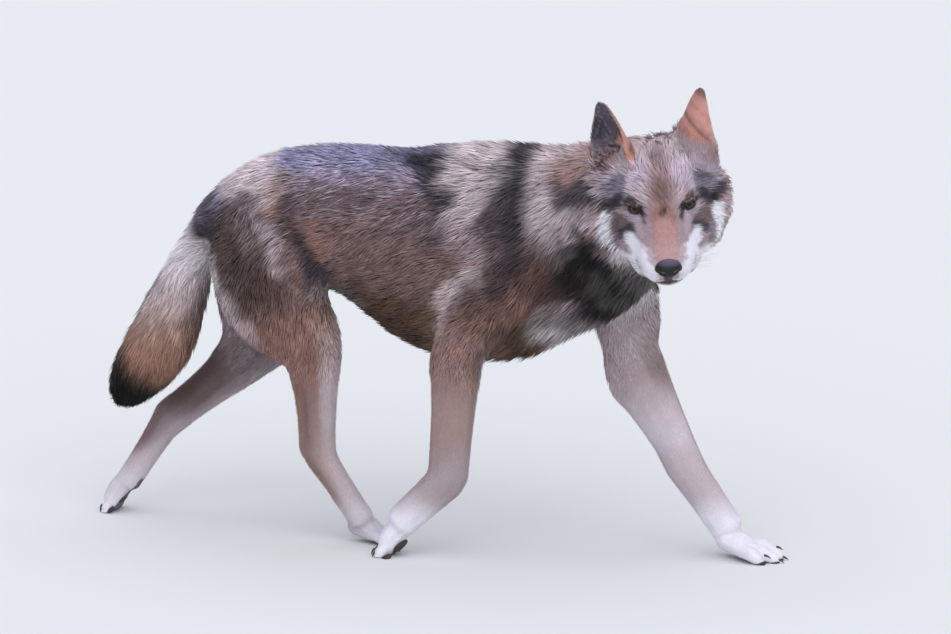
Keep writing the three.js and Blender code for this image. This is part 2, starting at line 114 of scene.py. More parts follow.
def meshArrays(mesh):
    co = np.empty(len(mesh.vertices) * 3)
    mesh.vertices.foreach_get("co", co)
    mesh.calc_loop_triangles()
    tris = np.empty(len(mesh.loop_triangles) * 3, int)
    mesh.loop_triangles.foreach_get("vertices", tris)
    return co.reshape(-1, 3), tris.reshape(-1, 3)


floorGap = 0.0004  # nothing of the look reaches lower than this


def pieceFrom(name, mesh, materials, replaced=()):
    piece = bpy.data.objects.new(name, mesh)
    scene.collection.objects.link(piece)
    for material in materials:
        mesh.materials.append(material)
    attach(piece, "root")
    if replaced:
        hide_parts(*replaced)
    return piece


trunkLow, trunkHigh = (np.array(corner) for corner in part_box("trunk"))
midY = (trunkLow[1] + trunkHigh[1]) / 2
trunkLength = trunkHigh[0] - trunkLow[0]
withers = trunkHigh[2]
halfBreadth = (trunkHigh[1] - trunkLow[1]) / 2


def alongTrunk(points):  # 0 at the rump and 1 at the chest
    return (points[:, 0] - trunkLow[0]) / trunkLength


def sliceMiddle(points, axis, low, high):
    inside = (points[:, axis] >= low) & (points[:, axis] <= high)
    part = points[inside]
    return (part.min(0) + part.max(0)) / 2


def topOf(name, share=0.16):
    points = cloud(name)
    top, bottom = points[:, 2].max(), points[:, 2].min()
    return sliceMiddle(points, 2, top - share * (top - bottom), top)


def bottomOf(name, share=0.16):
    points = cloud(name)
    top, bottom = points[:, 2].max(), points[:, 2].min()
    return sliceMiddle(points, 2, bottom, bottom + share * (top - bottom))


# head frame in millimetres: forward along the muzzle, to the wolf's left, and up, from between the eyes
eyeLeft, eyeRight, noseMiddle = (cloud(n).mean(0) for n in ("eye_left", "eye_right", "nose"))
headOrigin = (eyeLeft + eyeRight) / 2
headLeft = unit(eyeLeft - eyeRight)
toNose = noseMiddle - headOrigin
toNose = unit(toNose - headLeft * dot(toNose, headLeft))
noseUp = np.cross(toNose, headLeft)
noseDrop = math.radians(23.1)  # the nose lies this far below the head's forward way
headForward = math.cos(noseDrop) * toNose + math.sin(noseDrop) * noseUp
headUp = np.cross(headForward, headLeft)
headBasis = np.stack([headForward, headLeft, headUp])


def inHead(points):
    return (np.asarray(points) - headOrigin) @ headBasis.T * 1000


def mirrored(spots):  # both sides of the head on one
    return spots * np.where(spots[:, 1:2] < 0, (1, -1, 1), 1)


def fromHead(spots):
    return np.asarray(spots) @ headBasis / 1000 + headOrigin


def fromHeadWay(ways):
    return np.asarray(ways, float) @ headBasis


view = {"azimuth": 17.0, "elevation": 11.5, "distance": 7.5, "lens": 164.7, "aim": (0.0682, 0.190, 0.478)}


def setCamera():
    low, high = (np.array(corner) for corner in cadBox)
    size = high - low
    aim = np.array([
        (low[0] + high[0]) / 2 + view["aim"][0] * size[0],
        (low[1] + high[1]) / 2 + view["aim"][1] * size[1],
        low[2] + view["aim"][2] * size[2],
    ])
    azimuth, elevation = math.radians(view["azimuth"]), math.radians(view["elevation"])
    back = Vector((
        math.sin(azimuth) * math.cos(elevation),
        -math.cos(azimuth) * math.cos(elevation),
        math.sin(elevation),
    ))
    lens = bpy.data.cameras.new("camera")
    lens.lens = view["lens"]
    lens.sensor_width = 36
    camera = bpy.data.objects.new("camera", lens)
    scene.collection.objects.link(camera)
    camera.location = Vector(aim) + back * view["distance"]
    camera.rotation_mode = "QUATERNION"
    camera.rotation_quaternion = (-back).to_track_quat("-Z", "Y")
    scene.camera = camera


lights = {
    "sky": {"from": (0.15, -0.35, 1.0), "strength": 1.7, "spread": 110, "colour": (0.97, 0.985, 1.0)},
    "front": {"from": (0.5, -1.0, 0.55), "strength": 0.9, "spread": 80, "colour": (1.0, 0.99, 0.98)},
}


def setStage():
    floor = bpy.data.meshes.new("floor")
    floor.from_pydata([(-30, -30, 0), (30, -30, 0), (30, 30, 0), (-30, 30, 0)], [], [(0, 1, 2, 3)])
    plane = bpy.data.objects.new("floor", floor)
    scene.collection.objects.link(plane)
    paint = bpy.data.materials.new("floorPaint")
    paint.use_nodes = True
    shader = paint.node_tree.nodes["Principled BSDF"]
    shader.inputs["Base Color"].default_value = (0.74, 0.75, 0.755, 1)
    shader.inputs["Roughness"].default_value = 0.85
    floor.materials.append(paint)
    for name, facts in lights.items():
        lamp = bpy.data.lights.new(name, "SUN")
        lamp.energy = facts["strength"]
        lamp.angle = math.radians(facts["spread"])
        lamp.color = facts["colour"]
        holder = bpy.data.objects.new(name, lamp)
        holder.rotation_mode = "QUATERNION"
        holder.rotation_quaternion = Vector(facts["from"]).to_track_quat("Z", "Y")
        scene.collection.objects.link(holder)
    world = bpy.data.worlds.new("studio")
    world.use_nodes = True
    air = world.node_tree.nodes["Background"]
    air.inputs["Color"].default_value = (0.86, 0.9, 1.0, 1)
    air.inputs["Strength"].default_value = 0.55
    scene.world = world


setCamera()
setStage()
print("stage: camera and lights set")


class Wire:  # a socket of a node tree that takes part in arithmetic
    def __init__(self, tree, socket=None):
        self.tree = tree
        self.socket = socket

    def node(self, kind, settings=None, sockets=None, output=0):
        # settings first, then sockets by place or by name; gives the wired output
        made = self.tree.nodes.new(kind)
        for name, value in (settings or {}).items():
            if name == "stops":
                stops = made.color_ramp.elements
                while len(stops) < len(value):
                    stops.new(0.5)
                for stop, (place, colour) in zip(stops, value):
                    stop.position = place
                    stop.color = (*colour[:3], 1)
            else:
                setattr(made, name, value)
        pairs = sockets.items() if isinstance(sockets, dict) else enumerate(sockets or [])
        for name, value in pairs:
            if isinstance(value, Wire):
                self.tree.links.new(value.socket, made.inputs[name])
            elif value is not None:
                made.inputs[name].default_value = value
        return Wire(self.tree, made.outputs[output]) if made.outputs else made

    def maths(self, operation, first, second):
        return self.node("ShaderNodeMath", {"operation": operation}, [first, second])

    def __add__(self, other):
        return self.maths("ADD", self, other)

    def __radd__(self, other):
        return self.maths("ADD", other, self)

    def __sub__(self, other):
        return self.maths("SUBTRACT", self, other)

    def __rsub__(self, other):
        return self.maths("SUBTRACT", other, self)

    def __mul__(self, other):
        return self.maths("MULTIPLY", self, other)

    def __rmul__(self, other):
        return self.maths("MULTIPLY", other, self)


def newMaterial(name, constants):
    material = bpy.data.materials.new(name)
    material.use_nodes = True
    shader = material.node_tree.nodes["Principled BSDF"]
    for socket, value in constants.items():
        shader.inputs[socket].default_value = value
    return material, Wire(material.node_tree), shader


def feed(shader, **wires):
    for name, wire in wires.items():
        wire.tree.links.new(wire.socket, shader.inputs[name.replace("_", " ")])


def mixColour(net, factor, a, b, blend="MIX"):
    settings = {"data_type": "RGBA", "blend_type": blend}
    return net.node("ShaderNodeMix", settings, {0: factor, 6: a, 7: b}, 2)


def shaded(net, tone, shade):  # a colour times a number
    grey = net.node("ShaderNodeCombineColor", {}, [shade, shade, shade])
    return mixColour(net, 1.0, tone, grey, "MULTIPLY")


def attribute(net, name, output):
    return net.node("ShaderNodeAttribute", {"attribute_name": name}, {}, output)


def objectPlace(net):
    return net.node("ShaderNodeTexCoord", {}, {}, 3)


def noise(net, size, detail):
    sockets = {"Vector": objectPlace(net), "Scale": 1 / size, "Detail": detail, "Roughness": 0.5}
    return net.node("ShaderNodeTexNoise", {"normalize": True}, sockets)


def bumped(net, height, strength, distance):
    return net.node("ShaderNodeBump", {}, {"Strength": strength, "Distance": distance, "Height": height})


def linear(code):
    part = np.array([int(code[i:i + 2], 16) for i in (0, 2, 4)]) / 255
    return np.where(part <= 0.04045, part / 12.92, ((part + 0.055) / 1.055) ** 2.4)


# the darker roots are partly the underfur's own tone and partly painted shade deep in the coat
toneCodes = {  # root, middle and tip of a hair
    "saddle": ("444253", "aaa6ce", "585775"),
    "back": ("4c4452", "b5a6c2", "6e637c"),
    "flank": ("3b3034", "877076", "68565a"),
    "flankLow": ("3d2f2f", "886d69", "705652"),
    "belly": ("291f18", "5a4636", "4c392b"),
    "cream": ("7a6c72", "cdbcc1", "dacdd3"),
    "dark": ("121116", "34323f", "1a181f"),
    "ruff": ("584a4f", "b09aa1", "c2aeb5"),
    "throat": ("040303", "0b0908", "050404"),
    "chest": ("413e3d", "827e7c", "858180"),
    "grizzle": ("241d1c", "594a46", "342a28"),
    "tan": ("5b403b", "a0766c", "a97e73"),
    "peach": ("5f4439", "96735f", "9c7864"),
    "shank": ("7c6768", "ad938f", "b59e9c"),
    "pale": ("8f8389", "d0c4ca", "dcd2da"),
    "white": ("cecbdb", "f3f1fc", "fbfaff"),
    "rust": ("8a605c", "c89c9d", "cfa5a6"),
    "blush": ("8f6258", "dda59a", "e4b0a6"),
    "brown": ("2a1d19", "5a433d", "4a3731"),
    "black": ("050505", "0d0d0e", "070707"),
    "slate": ("423e49", "7d7686", "6c6575"),
    "lilac": ("807383", "c8b8c8", "d3c4d4"),
}
toneNames = list(toneCodes)
# tone, place along the hair, colour
toneTable = np.array([[linear(code) for code in codes] for codes in toneCodes.values()])


class Paint:  # layers tones over points, softly
    def __init__(self, points, tone):
        self.weights = np.zeros((len(points), len(toneNames)))
        self.weights[:, toneNames.index(tone)] = 1

    def over(self, mask, tone):
        mask = np.clip(mask, 0, 1)[:, None]
        self.weights *= 1 - mask
        self.weights[:, toneNames.index(tone)] += mask[:, 0]


def marks(*rows):
    columns = ("tone", "from", "to", "wide", "soft", "amount")
    return [dict(zip(columns, row)) for row in rows]


# places on the side of the body: along is 0 at the rump and 1 at the chest, high is 1 at the withers
bodyMarks = marks(
    ("flank", (0.3, 0.82), (0.7, 0.78), 0.085, 0.06, 0.9),
    ("flankLow", (0.4, 0.68), (0.72, 0.64), 0.06, 0.06, 0.85),
    ("belly", (0.44, 0.54), (0.86, 0.47), 0.05, 0.05, 0.95),
    ("chest", (0.37, 0.62), (0.43, 0.59), 0.006, 0.03, 0.7),
    ("back", (0.00, 0.84), (0.2, 1.00), 0.035, 0.045, 0.9),
    ("back", (0.2, 1.00), (0.72, 1.01), 0.06, 0.04, 0.9),
    ("saddle", (0.12, 0.99), (0.66, 1.02), 0.045, 0.03, 0.9),
    ("dark", (0.00, 0.84), (0.08, 0.93), 0.012, 0.035, 0.8),
    ("dark", (0.5, 0.985), (0.63, 0.955), 0.008, 0.03, 0.7),
    ("dark", (0.62, 0.95), (0.69, 0.89), 0.014, 0.026, 0.95),
    ("dark", (0.69, 0.885), (0.66, 0.78), 0.004, 0.03, 0.55),
    ("cream", (0.7, 0.985), (0.79, 0.985), 0.02, 0.03, 0.9),
    ("cream", (0.78, 0.975), (0.715, 0.915), 0.014, 0.026, 0.85),
    ("dark", (0.72, 0.955), (0.765, 0.945), 0.001, 0.016, 0.55),
    ("cream", (0.8, 0.925), (0.755, 0.86), 0.012, 0.024, 0.8),
    ("cream", (0.755, 0.86), (0.72, 0.82), 0.012, 0.026, 0.75),
    ("ruff", (0.73, 0.8), (0.77, 0.74), 0.014, 0.035, 0.6),
    ("dark", (0.803, 0.85), (0.8, 0.8), 0.006, 0.026, 0.6),
    ("brown", (0.85, 0.76), (0.85, 0.66), 0.03, 0.05, 0.5),
    ("dark", (0.84, 0.995), (0.88, 0.955), 0.012, 0.018, 0.95),
    ("dark", (0.88, 0.955), (0.893, 0.79), 0.01, 0.02, 0.95),
    ("dark", (0.893, 0.79), (0.895, 0.68), 0.008, 0.035, 0.6),
    ("dark", (0.832, 0.925), (0.848, 0.83), 0.007, 0.022, 0.75),
    ("dark", (0.848, 0.83), (0.84, 0.66), 0.004, 0.028, 0.6),
    ("tan", (0.9, 0.66), (0.88, 0.61), 0.012, 0.035, 0.5),
    ("cream", (0.765, 0.69), (0.7, 0.64), 0.004, 0.022, 0.75),
    ("cream", (0.7, 0.64), (0.68, 0.57), 0.006, 0.022, 0.75),
    ("brown", (0.75, 0.64), (0.735, 0.57), 0.012, 0.03, 0.7),
    ("cream", (0.115, 0.885), (0.185, 0.905), 0.02, 0.032, 0.95),
    ("cream", (0.19, 0.9), (0.225, 0.865), 0.016, 0.028, 0.95),
    ("tan", (0.235, 0.87), (0.245, 0.83), 0.008, 0.02, 0.6),
    ("brown", (0.252, 0.895), (0.27, 0.855), 0.003, 0.014, 0.6),
    ("dark", (0.275, 0.845), (0.285, 0.785), 0.004, 0.018, 0.6),
    ("brown", (0.285, 0.785), (0.325, 0.74), 0.006, 0.018, 0.85),
    ("dark", (0.325, 0.74), (0.362, 0.65), 0.006, 0.016, 0.85),
    ("tan", (0.345, 0.775), (0.368, 0.715), 0.005, 0.016, 0.6),
    ("cream", (0.225, 0.765), (0.262, 0.68), 0.004, 0.022, 0.4),
    ("brown", (0.197, 0.73), (0.235, 0.64), 0.008, 0.022, 0.6),
    ("brown", (0.11, 0.72), (0.13, 0.64), 0.012, 0.028, 0.5),
    ("dark", (0.045, 0.8), (0.035, 0.72), 0.012, 0.025, 0.7),
    ("cream", (0.025, 0.675), (0.075, 0.635), 0.006, 0.02, 0.7),
)
breechMarks = marks(  # down the rear edge of the thigh, and the darker hair ahead of it
    ("cream", (0.026, 0.69), (0.056, 0.615), 0.013, 0.02, 0.9),
    ("cream", (0.056, 0.615), (0.118, 0.545), 0.015, 0.022, 0.9),
    ("cream", (0.118, 0.545), (0.18, 0.495), 0.012, 0.024, 0.8),
    ("grizzle", (0.12, 0.65), (0.2, 0.59), 0.016, 0.03, 0.6),
)
neckMarks = marks(  # in front of the shoulder, painted over the ruff
    ("cream", (0.9, 0.965), (0.926, 0.857), 0.012, 0.022, 0.9),
    ("cream", (0.926, 0.857), (0.94, 0.78), 0.017, 0.022, 0.9),
    ("cream", (0.94, 0.78), (0.985, 0.72), 0.012, 0.022, 0.8),
    ("cream", (0.945, 0.985), (0.985, 0.975), 0.006, 0.026, 0.55),
    ("tan", (0.976, 0.935), (1.02, 0.955), 0.014, 0.025, 0.6),
    ("dark", (0.968, 0.9), (0.975, 0.875), 0.006, 0.02, 0.7),
    ("dark", (1.02, 0.885), (1.056, 0.912), 0.013, 0.02, 0.9),
    ("cream", (0.975, 0.838), (1.028, 0.849), 0.01, 0.018, 0.75),
    ("cream", (1.028, 0.849), (1.008, 0.78), 0.009, 0.018, 0.75),
    ("brown", (0.99, 0.8), (0.985, 0.76), 0.004, 0.014, 0.5),
    ("brown", (0.905, 0.75), (0.915, 0.68), 0.024, 0.03, 0.8),
    ("brown", (0.93, 0.665), (0.985, 0.685), 0.026, 0.03, 0.9),
    ("throat", (1.042, 0.815), (1.085, 0.745), 0.008, 0.018, 0.95),
    ("throat", (1.055, 0.755), (1.125, 0.69), 0.018, 0.028, 0.95),
    ("throat", (1.03, 0.7), (1.085, 0.61), 0.034, 0.035, 0.95),
    ("throat", (1.085, 0.61), (1.2, 0.6), 0.032, 0.03, 0.9),
    ("throat", (1.125, 0.69), (1.23, 0.64), 0.024, 0.03, 0.85),
    ("chest", (1.15, 0.715), (1.178, 0.655), 0.012, 0.026, 0.5),
    ("chest", (1.062, 0.69), (1.075, 0.65), 0.003, 0.022, 0.35),
    ("chest", (1.095, 0.64), (1.11, 0.615), 0.003, 0.02, 0.35),
    ("chest", (0.865, 0.552), (0.985, 0.548), 0.021, 0.026, 0.95),
    ("pale", (0.895, 0.542), (0.94, 0.54), 0.008, 0.02, 0.6),
)


def sidePlace(spot):
    return np.array([trunkLow[0] + spot[0] * trunkLength, spot[1] * withers])


def stripe(flat, mark):  # mask round a line on the side of the body
    off = offLine(flat, sidePlace(mark["from"]), sidePlace(mark["to"]))
    return 1 - ramp(off, mark["wide"], mark["wide"] + mark["soft"])


def slicesAlong(names, axis, count):
    points = np.concatenate([cloud(name) for name in names])
    low, high = points[:, axis].min(), points[:, axis].max()
    edges = np.linspace(low, high, count + 1)
    return np.array([sliceMiddle(points, axis, a, b) for a, b in zip(edges[:-1], edges[1:])])


# length and width of a tuft and the step between tufts, in millimetres
coats = {
    "trunk": {"length": 42, "width": 2.3, "step": 3.25},
    "neck": {"length": 50, "width": 2.5, "step": 3.35},
    "upperArm": {"length": 28, "width": 2.2, "step": 3.2},
    "forearm": {"length": 8, "width": 1.1, "step": 1.8},
    "forePaw": {"length": 6, "width": 0.95, "step": 1.7},
    "thigh": {"length": 34, "width": 2.4, "step": 3.3},
    "shank": {"length": 10, "width": 1.2, "step": 2.0},
    "hock": {"length": 8, "width": 1.1, "step": 1.8},
    "hindPaw": {"length": 6, "width": 0.95, "step": 1.7},
    "tail": {"length": 62, "width": 2.7, "step": 2.5},
    "head": {"length": 20, "width": 1.6, "step": 2.1},
}
coatNames = list(coats)


def makeBones():
    bones = []

    def stretch(kind, places, radii):
        for (a, b), (ra, rb) in zip(zip(places[:-1], places[1:]), zip(radii[:-1], radii[1:])):
            bones.append({"kind": kind, "from": a, "to": b, "radii": (ra, rb)})

    spine = slicesAlong(["trunk"], 0, 6)[::-1]
    stretch("trunk", spine, [0.13, 0.15, 0.16, 0.14, 0.12, 0.10])
    nape = fromHead([-70, 0, -30])
    stretch("neck", [nape, lerp(nape, spine[0], 0.5), spine[0] + [-0.02, 0, 0]], [0.09, 0.12, 0.15])
    skull = [fromHead(spot) for spot in ([100, 0, -60], [20, 0, -50], [-60, 0, -30])]
    stretch("head", skull, [0.03, 0.05, 0.09])
    stretch("tail", slicesAlong(["tail", "tail_tip"], 2, 5)[::-1], [0.03, 0.04, 0.05, 0.05, 0.04])
    for side in ("left", "right"):
        arm, fore, paw = (f"fore_{side}_{part}" for part in ("upper_arm", "forearm", "paw"))
        carpus, toes = topOf(paw, 0.1), bottomOf(paw, 0.12)
        stretch("upperArm", [topOf(arm, 0.2), topOf(fore, 0.12)], [0.05, 0.045])
        stretch("forearm", [topOf(fore, 0.12), carpus], [0.04, 0.03])
        stretch("forePaw", [carpus, toes], [0.03, 0.03])
        thigh, shank, hock, foot = (f"hind_{side}_{part}" for part in ("thigh", "lower_leg", "hock", "paw"))
        stretch("thigh", [topOf(thigh, 0.3), topOf(shank, 0.12)], [0.07, 0.05])
        stretch("shank", [topOf(shank, 0.12), topOf(hock, 0.12)], [0.05, 0.03])
        stretch("hock", [topOf(hock, 0.12), topOf(foot, 0.2)], [0.026, 0.026])
        stretch("hindPaw", [topOf(foot, 0.2), bottomOf(foot, 0.12)], [0.026, 0.03])
    return bones


bones = makeBones()
boneStart = np.array([bone["from"] for bone in bones])
boneWay = np.array([bone["to"] - bone["from"] for bone in bones])
boneRadii = np.array([bone["radii"] for bone in bones])
boneKinds = np.array([coatNames.index(bone["kind"]) for bone in bones])


def boneWeights(points, spread=0.022):
    # soft share of every bone at every point, and how far along it the point lies
    off = points[:, None] - boneStart
    along = np.clip((off * boneWay).sum(-1) / (boneWay ** 2).sum(-1), 0, 1)
    away = np.linalg.norm(off - along[..., None] * boneWay, axis=-1)
    away = away - lerp(boneRadii[:, 0], boneRadii[:, 1], along)
    away = away - away.min(1, keepdims=True)
    share = np.exp(-(away / spread) ** 1.5)
    return share / share.sum(1, keepdims=True), along


def kindShare(share, *kinds):
    wanted = np.isin(boneKinds, [coatNames.index(kind) for kind in kinds])
    return share[:, wanted].sum(1)


# marks on the head in millimetres, mirrored: forward, sideways and up, painted in this order
headMarks = marks(
    ("cream", (-112, 16, 60), (-74, 46, 62), 20, 20, 0.5),
    ("lilac", (-38, 34, 42), (-58, 82, 6), 22, 18, 0.9),
    ("tan", (-50, 0, 54), (6, 0, 32), 12, 19, 0.5),
    ("brown", (-20, 8, 44), (10, 10, 26), 3, 12, 0.3),
    ("slate", (-92, 2, 60), (-46, 2, 50), 2.5, 9, 0.55),
    ("brown", (-12, 0, 40), (16, 0, 20), 3, 10, 0.5),
    ("brown", (-96, 100, 20), (-89, 86, 20), 6, 7, 0.6),
    ("cream", (-67, 30, 58), (-74, 70, 23), 6, 7, 0.85),
    ("cream", (-74, 70, 23), (-68, 97, -6), 4, 6, 0.75),
    ("slate", (-54, 66, 12), (-60, 84, -8), 13, 10, 0.85),
    ("ruff", (-44, 111, -56), (-62, 126, -72), 13, 11, 0.85),
    ("cream", (-48, 114, -60), (-62, 124, -66), 4, 12, 0.5),
    ("grizzle", (-46, 118, -100), (-34, 98, -116), 12, 14, 0.7),
    ("pale", (-8, 72, -112), (-34, 72, -134), 14, 16, 0.85),
    ("white", (54, 52, -78), (-4, 71, -106), 12, 10, 0.9),
    ("slate", (-30, 63, 2), (-38, 76, -14), 9, 8, 0.95),
    ("dark", (-34, 68, -6), (-44, 86, -30), 9, 8, 0.85),
    ("black", (-48, 92, -30), (-68, 107, -24), 9, 8, 0.85),
    ("dark", (-8, 60, 5), (-38, 78, -12), 2.5, 5, 0.85),
    ("grizzle", (2, 64, -26), (-16, 76, -40), 12, 9, 0.7),
    ("dark", (17, 54, -29), (-2, 71, -54), 5, 7, 0.85),
    ("slate", (-14, 76, -60), (-8, 78, -80), 6, 6, 0.75),
    ("white", (-38, 92, -48), (-34, 92, -68), 12, 4, 1.0),
    ("white", (-34, 92, -68), (-28, 90, -92), 9.5, 4, 1.0),
    ("white", (-52, 101, -52), (-46, 99, -80), 7, 4, 1.0),
    ("pale", (100, 0, -92), (50, 0, -106), 24, 10, 0.9),
    ("lilac", (14, 42, -10), (-2, 58, -7), 5.5, 5, 0.9),
    ("lilac", (24, 44, -20), (36, 36, -26), 5, 6, 0.6),
    ("tan", (26, 0, 2), (62, 0, -16), 16, 10, 0.85),
    ("rust", (48, 0, -10), (98, 0, -30), 14, 11, 0.7),
    ("cream", (82, 29, -30), (98, 25, -40), 5, 7, 0.7),
    ("white", (22, 56, -48), (72, 43, -44), 9, 10, 0.95),
    ("white", (72, 42, -46), (100, 31, -58), 12, 10, 0.95),
    ("white", (48, 50, -66), (98, 26, -74), 10, 6, 0.95),
    ("black", (23, 0, 9), (26, 0, 4), 2.5, 7, 0.8),
    ("cream", (6, 31, 20), (-8, 34, 29), 4, 7, 0.7),
    # painted shade under the brow, over the dark fur above the eye
    ("black", (-11, 57, 12), (3, 45, 14), 4, 6, 0.85),
    ("black", (10, 38, 6), (-4, 54, 4), 6, 4, 0.85),
    ("black", (13, 35, 3), (25, 31, -8), 2.2, 4, 0.85),
    ("black", (104, 0, -68), (98, 0, -84), 6, 4, 0.95),
    ("black", (102, 0, -84), (94, 19, -83), 3.4, 3.0, 0.95),
    ("slate", (55, 49, -64), (70, 45, -71), 1.0, 2.5, 0.75),
)


def capsule(points, mark, wobble):  # mask round a line in space
    off = offLine(points, mark["from"], mark["to"]) + wobble
    return 1 - ramp(off, mark["wide"], mark["wide"] + mark["soft"])


def markings(points, normals):
    share, _ = boneWeights(points)
    flat = points[:, [0, 2]] + 0.008 * np.stack([ripple(points, 0.035, 3), ripple(points, 0.035, 4)], 1)
    high = points[:, 2] / withers
    along = alongTrunk(points)
    side = np.abs(points[:, 1] - midY) / halfBreadth
    ahead = normals[:, 0]
    paint = Paint(points, "grizzle")
    for mark in bodyMarks:
        paint.over(stripe(flat, mark) * mark["amount"], mark["tone"])
    # the dark line down the middle of the back
    midline = (1 - ramp(side, 0.1, 0.4)) * (1 - ramp(along, 0.62, 0.7))
    paint.over(0.7 * ramp(high, 0.93, 0.99) * midline, "saddle")

    neck = kindShare(share, "neck")
    front = ramp(along + 0.02 * ripple(points, 0.04, 5), 0.895, 0.925)
    paint.over(np.maximum(neck * front, ramp(along, 0.93, 0.98)), "ruff")
    paint.over(0.6 * front * ramp(ripple(points, 0.045, 6), 0.0, 0.9), "tan")
    fromRidge = np.abs(points[:, 1] - midY - 0.05 * ramp(along, 0.8, 1.1))
    crest = (1 - ramp(fromRidge, 0.02, 0.045)) * (1 - ramp(along, 0.98, 1.06))
    paint.over(neck * front * 0.8 * ramp(high, 0.985, 1.03) * crest, "saddle")
    for mark in neckMarks:
        paint.over(stripe(flat, mark) * mark["amount"] * ramp(along, 0.86, 0.92), mark["tone"])

    outer = np.sign(points[:, 1] - midY) * normals[:, 1]
    arm = kindShare(share, "upperArm")
    paint.over(arm * 0.7 * ramp(outer, -0.4, -0.1) * (1 - ramp(high, 0.56, 0.66)), "tan")
    paint.over(arm * 0.7 * ramp(ahead, 0.2, 0.8) * (1 - ramp(high, 0.60, 0.68)), "brown")
    inside = arm * (1 - ramp(outer, -0.5, 0.0))
    paint.over(inside, "pale")
    paint.over(inside * 0.7 * ramp(high, 0.40, 0.50), "white")
    paint.over(inside * 0.5 * ramp(-ahead, 0.0, 0.6) * ramp(high, 0.44, 0.52), "tan")

    fore, shank, hock = (kindShare(share, kind) for kind in ("forearm", "shank", "hock"))
    legs = np.clip(fore + shank + hock, 0, 1)
    paint.over(legs, "shank")
    paint.over(fore * 0.45 * ramp(high, 0.36, 0.50) * ramp(outer, -0.3, 0.3), "tan")
    paint.over(fore * 0.4 * ramp(ahead, 0.4, 0.9) * ramp(high, 0.40, 0.52), "brown")
    inner = 1 - ramp(outer, -0.35, 0.25)
    paint.over(legs * inner * 0.9, "pale")
    paint.over(fore * inner * 0.4, "white")
    paint.over(fore * inner * 0.5 * ramp(high, 0.24, 0.46), "tan")
    paint.over(fore * inner * 0.6 * ramp(high, 0.36, 0.46) * ramp(ahead, -0.1, 0.6), "brown")
    # the inner faces of the shanks and hocks are painted darker: partly the coat's own tone there, partly
    # painted shade on the inside of the far leg
    paint.over(shank * inner * 0.95 * ramp(high, 0.12, 0.22), "flank")
    paint.over(hock * inner * 0.9 * ramp(high, 0.12, 0.20), "flank")
    paint.over(np.maximum(shank, hock) * inner * 0.5 * ramp(high, 0.14, 0.22), "grizzle")
    thigh = kindShare(share, "thigh")
    paint.over(thigh * (1 - ramp(high, 0.52, 0.64)) * ramp(outer, -0.3, 0.2) * 0.85, "tan")
    paint.over(thigh * (1 - ramp(high, 0.54, 0.62)) * ramp(outer, -0.3, 0.2) * 0.6, "brown")
    # the inner face of the thigh is painted darker: partly the coat's own tone, partly painted shade on the
    # inside of the far thigh
    paint.over(thigh * 0.95 * (1 - ramp(outer, -0.5, 0.05)), "flank")
    paint.over(thigh * 0.4 * (1 - ramp(outer, -0.5, 0.05)), "chest")
    rear = ramp(-ahead + 0.1 * ripple(points, 0.03, 14), 0.25, 0.62)
    paint.over(thigh * 0.9 * rear * (1 - ramp(high, 0.66, 0.74)), "cream")
    rump = np.maximum(thigh, kindShare(share, "trunk"))
    for mark in breechMarks:
        paint.over(stripe(flat, mark) * mark["amount"] * rump, mark["tone"])
    paint.over(shank * 0.8 * ramp(high, 0.30, 0.46) * ramp(outer, -0.2, 0.3), "tan")
    paint.over(shank * 0.6 * ramp(-ahead, 0.1, 0.6) * ramp(outer, -0.2, 0.3), "tan")
    paint.over(shank * 0.75 * ramp(ahead, 0.1, 0.6) * (1 - ramp(high, 0.48, 0.60)), "pale")
    # painted shade: a brown band where a groove runs down the back of the shin
    paint.over(shank * 0.5 * hump(ahead, -0.25, 0.22) * (1 - ramp(high, 0.36, 0.46)), "brown")
    paint.over(hock * 0.85 * ramp(ahead, -0.3, 0.3), "pale")
    paint.over(hock * 0.7 * ramp(-ahead, 0.3, 0.8) * ramp(high, 0.10, 0.18), "tan")
    paws = kindShare(share, "forePaw", "hindPaw")
    paint.over(paws, "pale")
    paint.over(paws * (1 - ramp(high, 0.08, 0.16)) * 0.8, "white")

    tail = ramp(kindShare(share, "tail"), 0.35, 0.75)
    paint.over(tail, "peach")
    paint.over(tail * 0.95 * ramp(high, 0.50, 0.66), "pale")
    paint.over(tail * 0.35 * ramp(high, 0.58, 0.68), "white")
    paint.over(tail * 0.5 * hump(high, 0.56, 0.07), "cream")
    paint.over(tail * 0.95 * ramp(high, 0.755, 0.80), "dark")
    paint.over(tail * 0.75 * ramp(-ahead, 0.72, 0.93) * ramp(high, 0.36, 0.42), "dark")
    paint.over(tail * 0.7 * ramp(ahead, 0.35, 0.9) * (1 - ramp(high, 0.56, 0.66)), "brown")
    paint.over(tail * 0.5 * hump(high, 0.40, 0.05), "tan")
    paint.over(tail * (1 - ramp(high + 0.06 * ahead, 0.355, 0.410)), "black")

    spots = inHead(points)
    head = kindShare(share, "head")
    paint.over(head, "ruff")
    folded = mirrored(spots)
    wobble = 2.2 * ripple(points, 0.012, 8)
    for mark in headMarks:
        paint.over(capsule(folded, mark, wobble) * mark["amount"], mark["tone"])
    bridge = head * ramp(spots[:, 0], 14, 40) * (1 - ramp(folded[:, 1], 16, 30))
    paint.over(0.45 * bridge * ramp(ripple(points, 0.006, 9), 0.1, 1.0), "tan")
    paint.over(0.25 * bridge * ramp(ripple(points, 0.004, 10), 0.2, 1.0), "cream")
    return paint.weights


print("tones and bones ready:", len(bones), "bones")

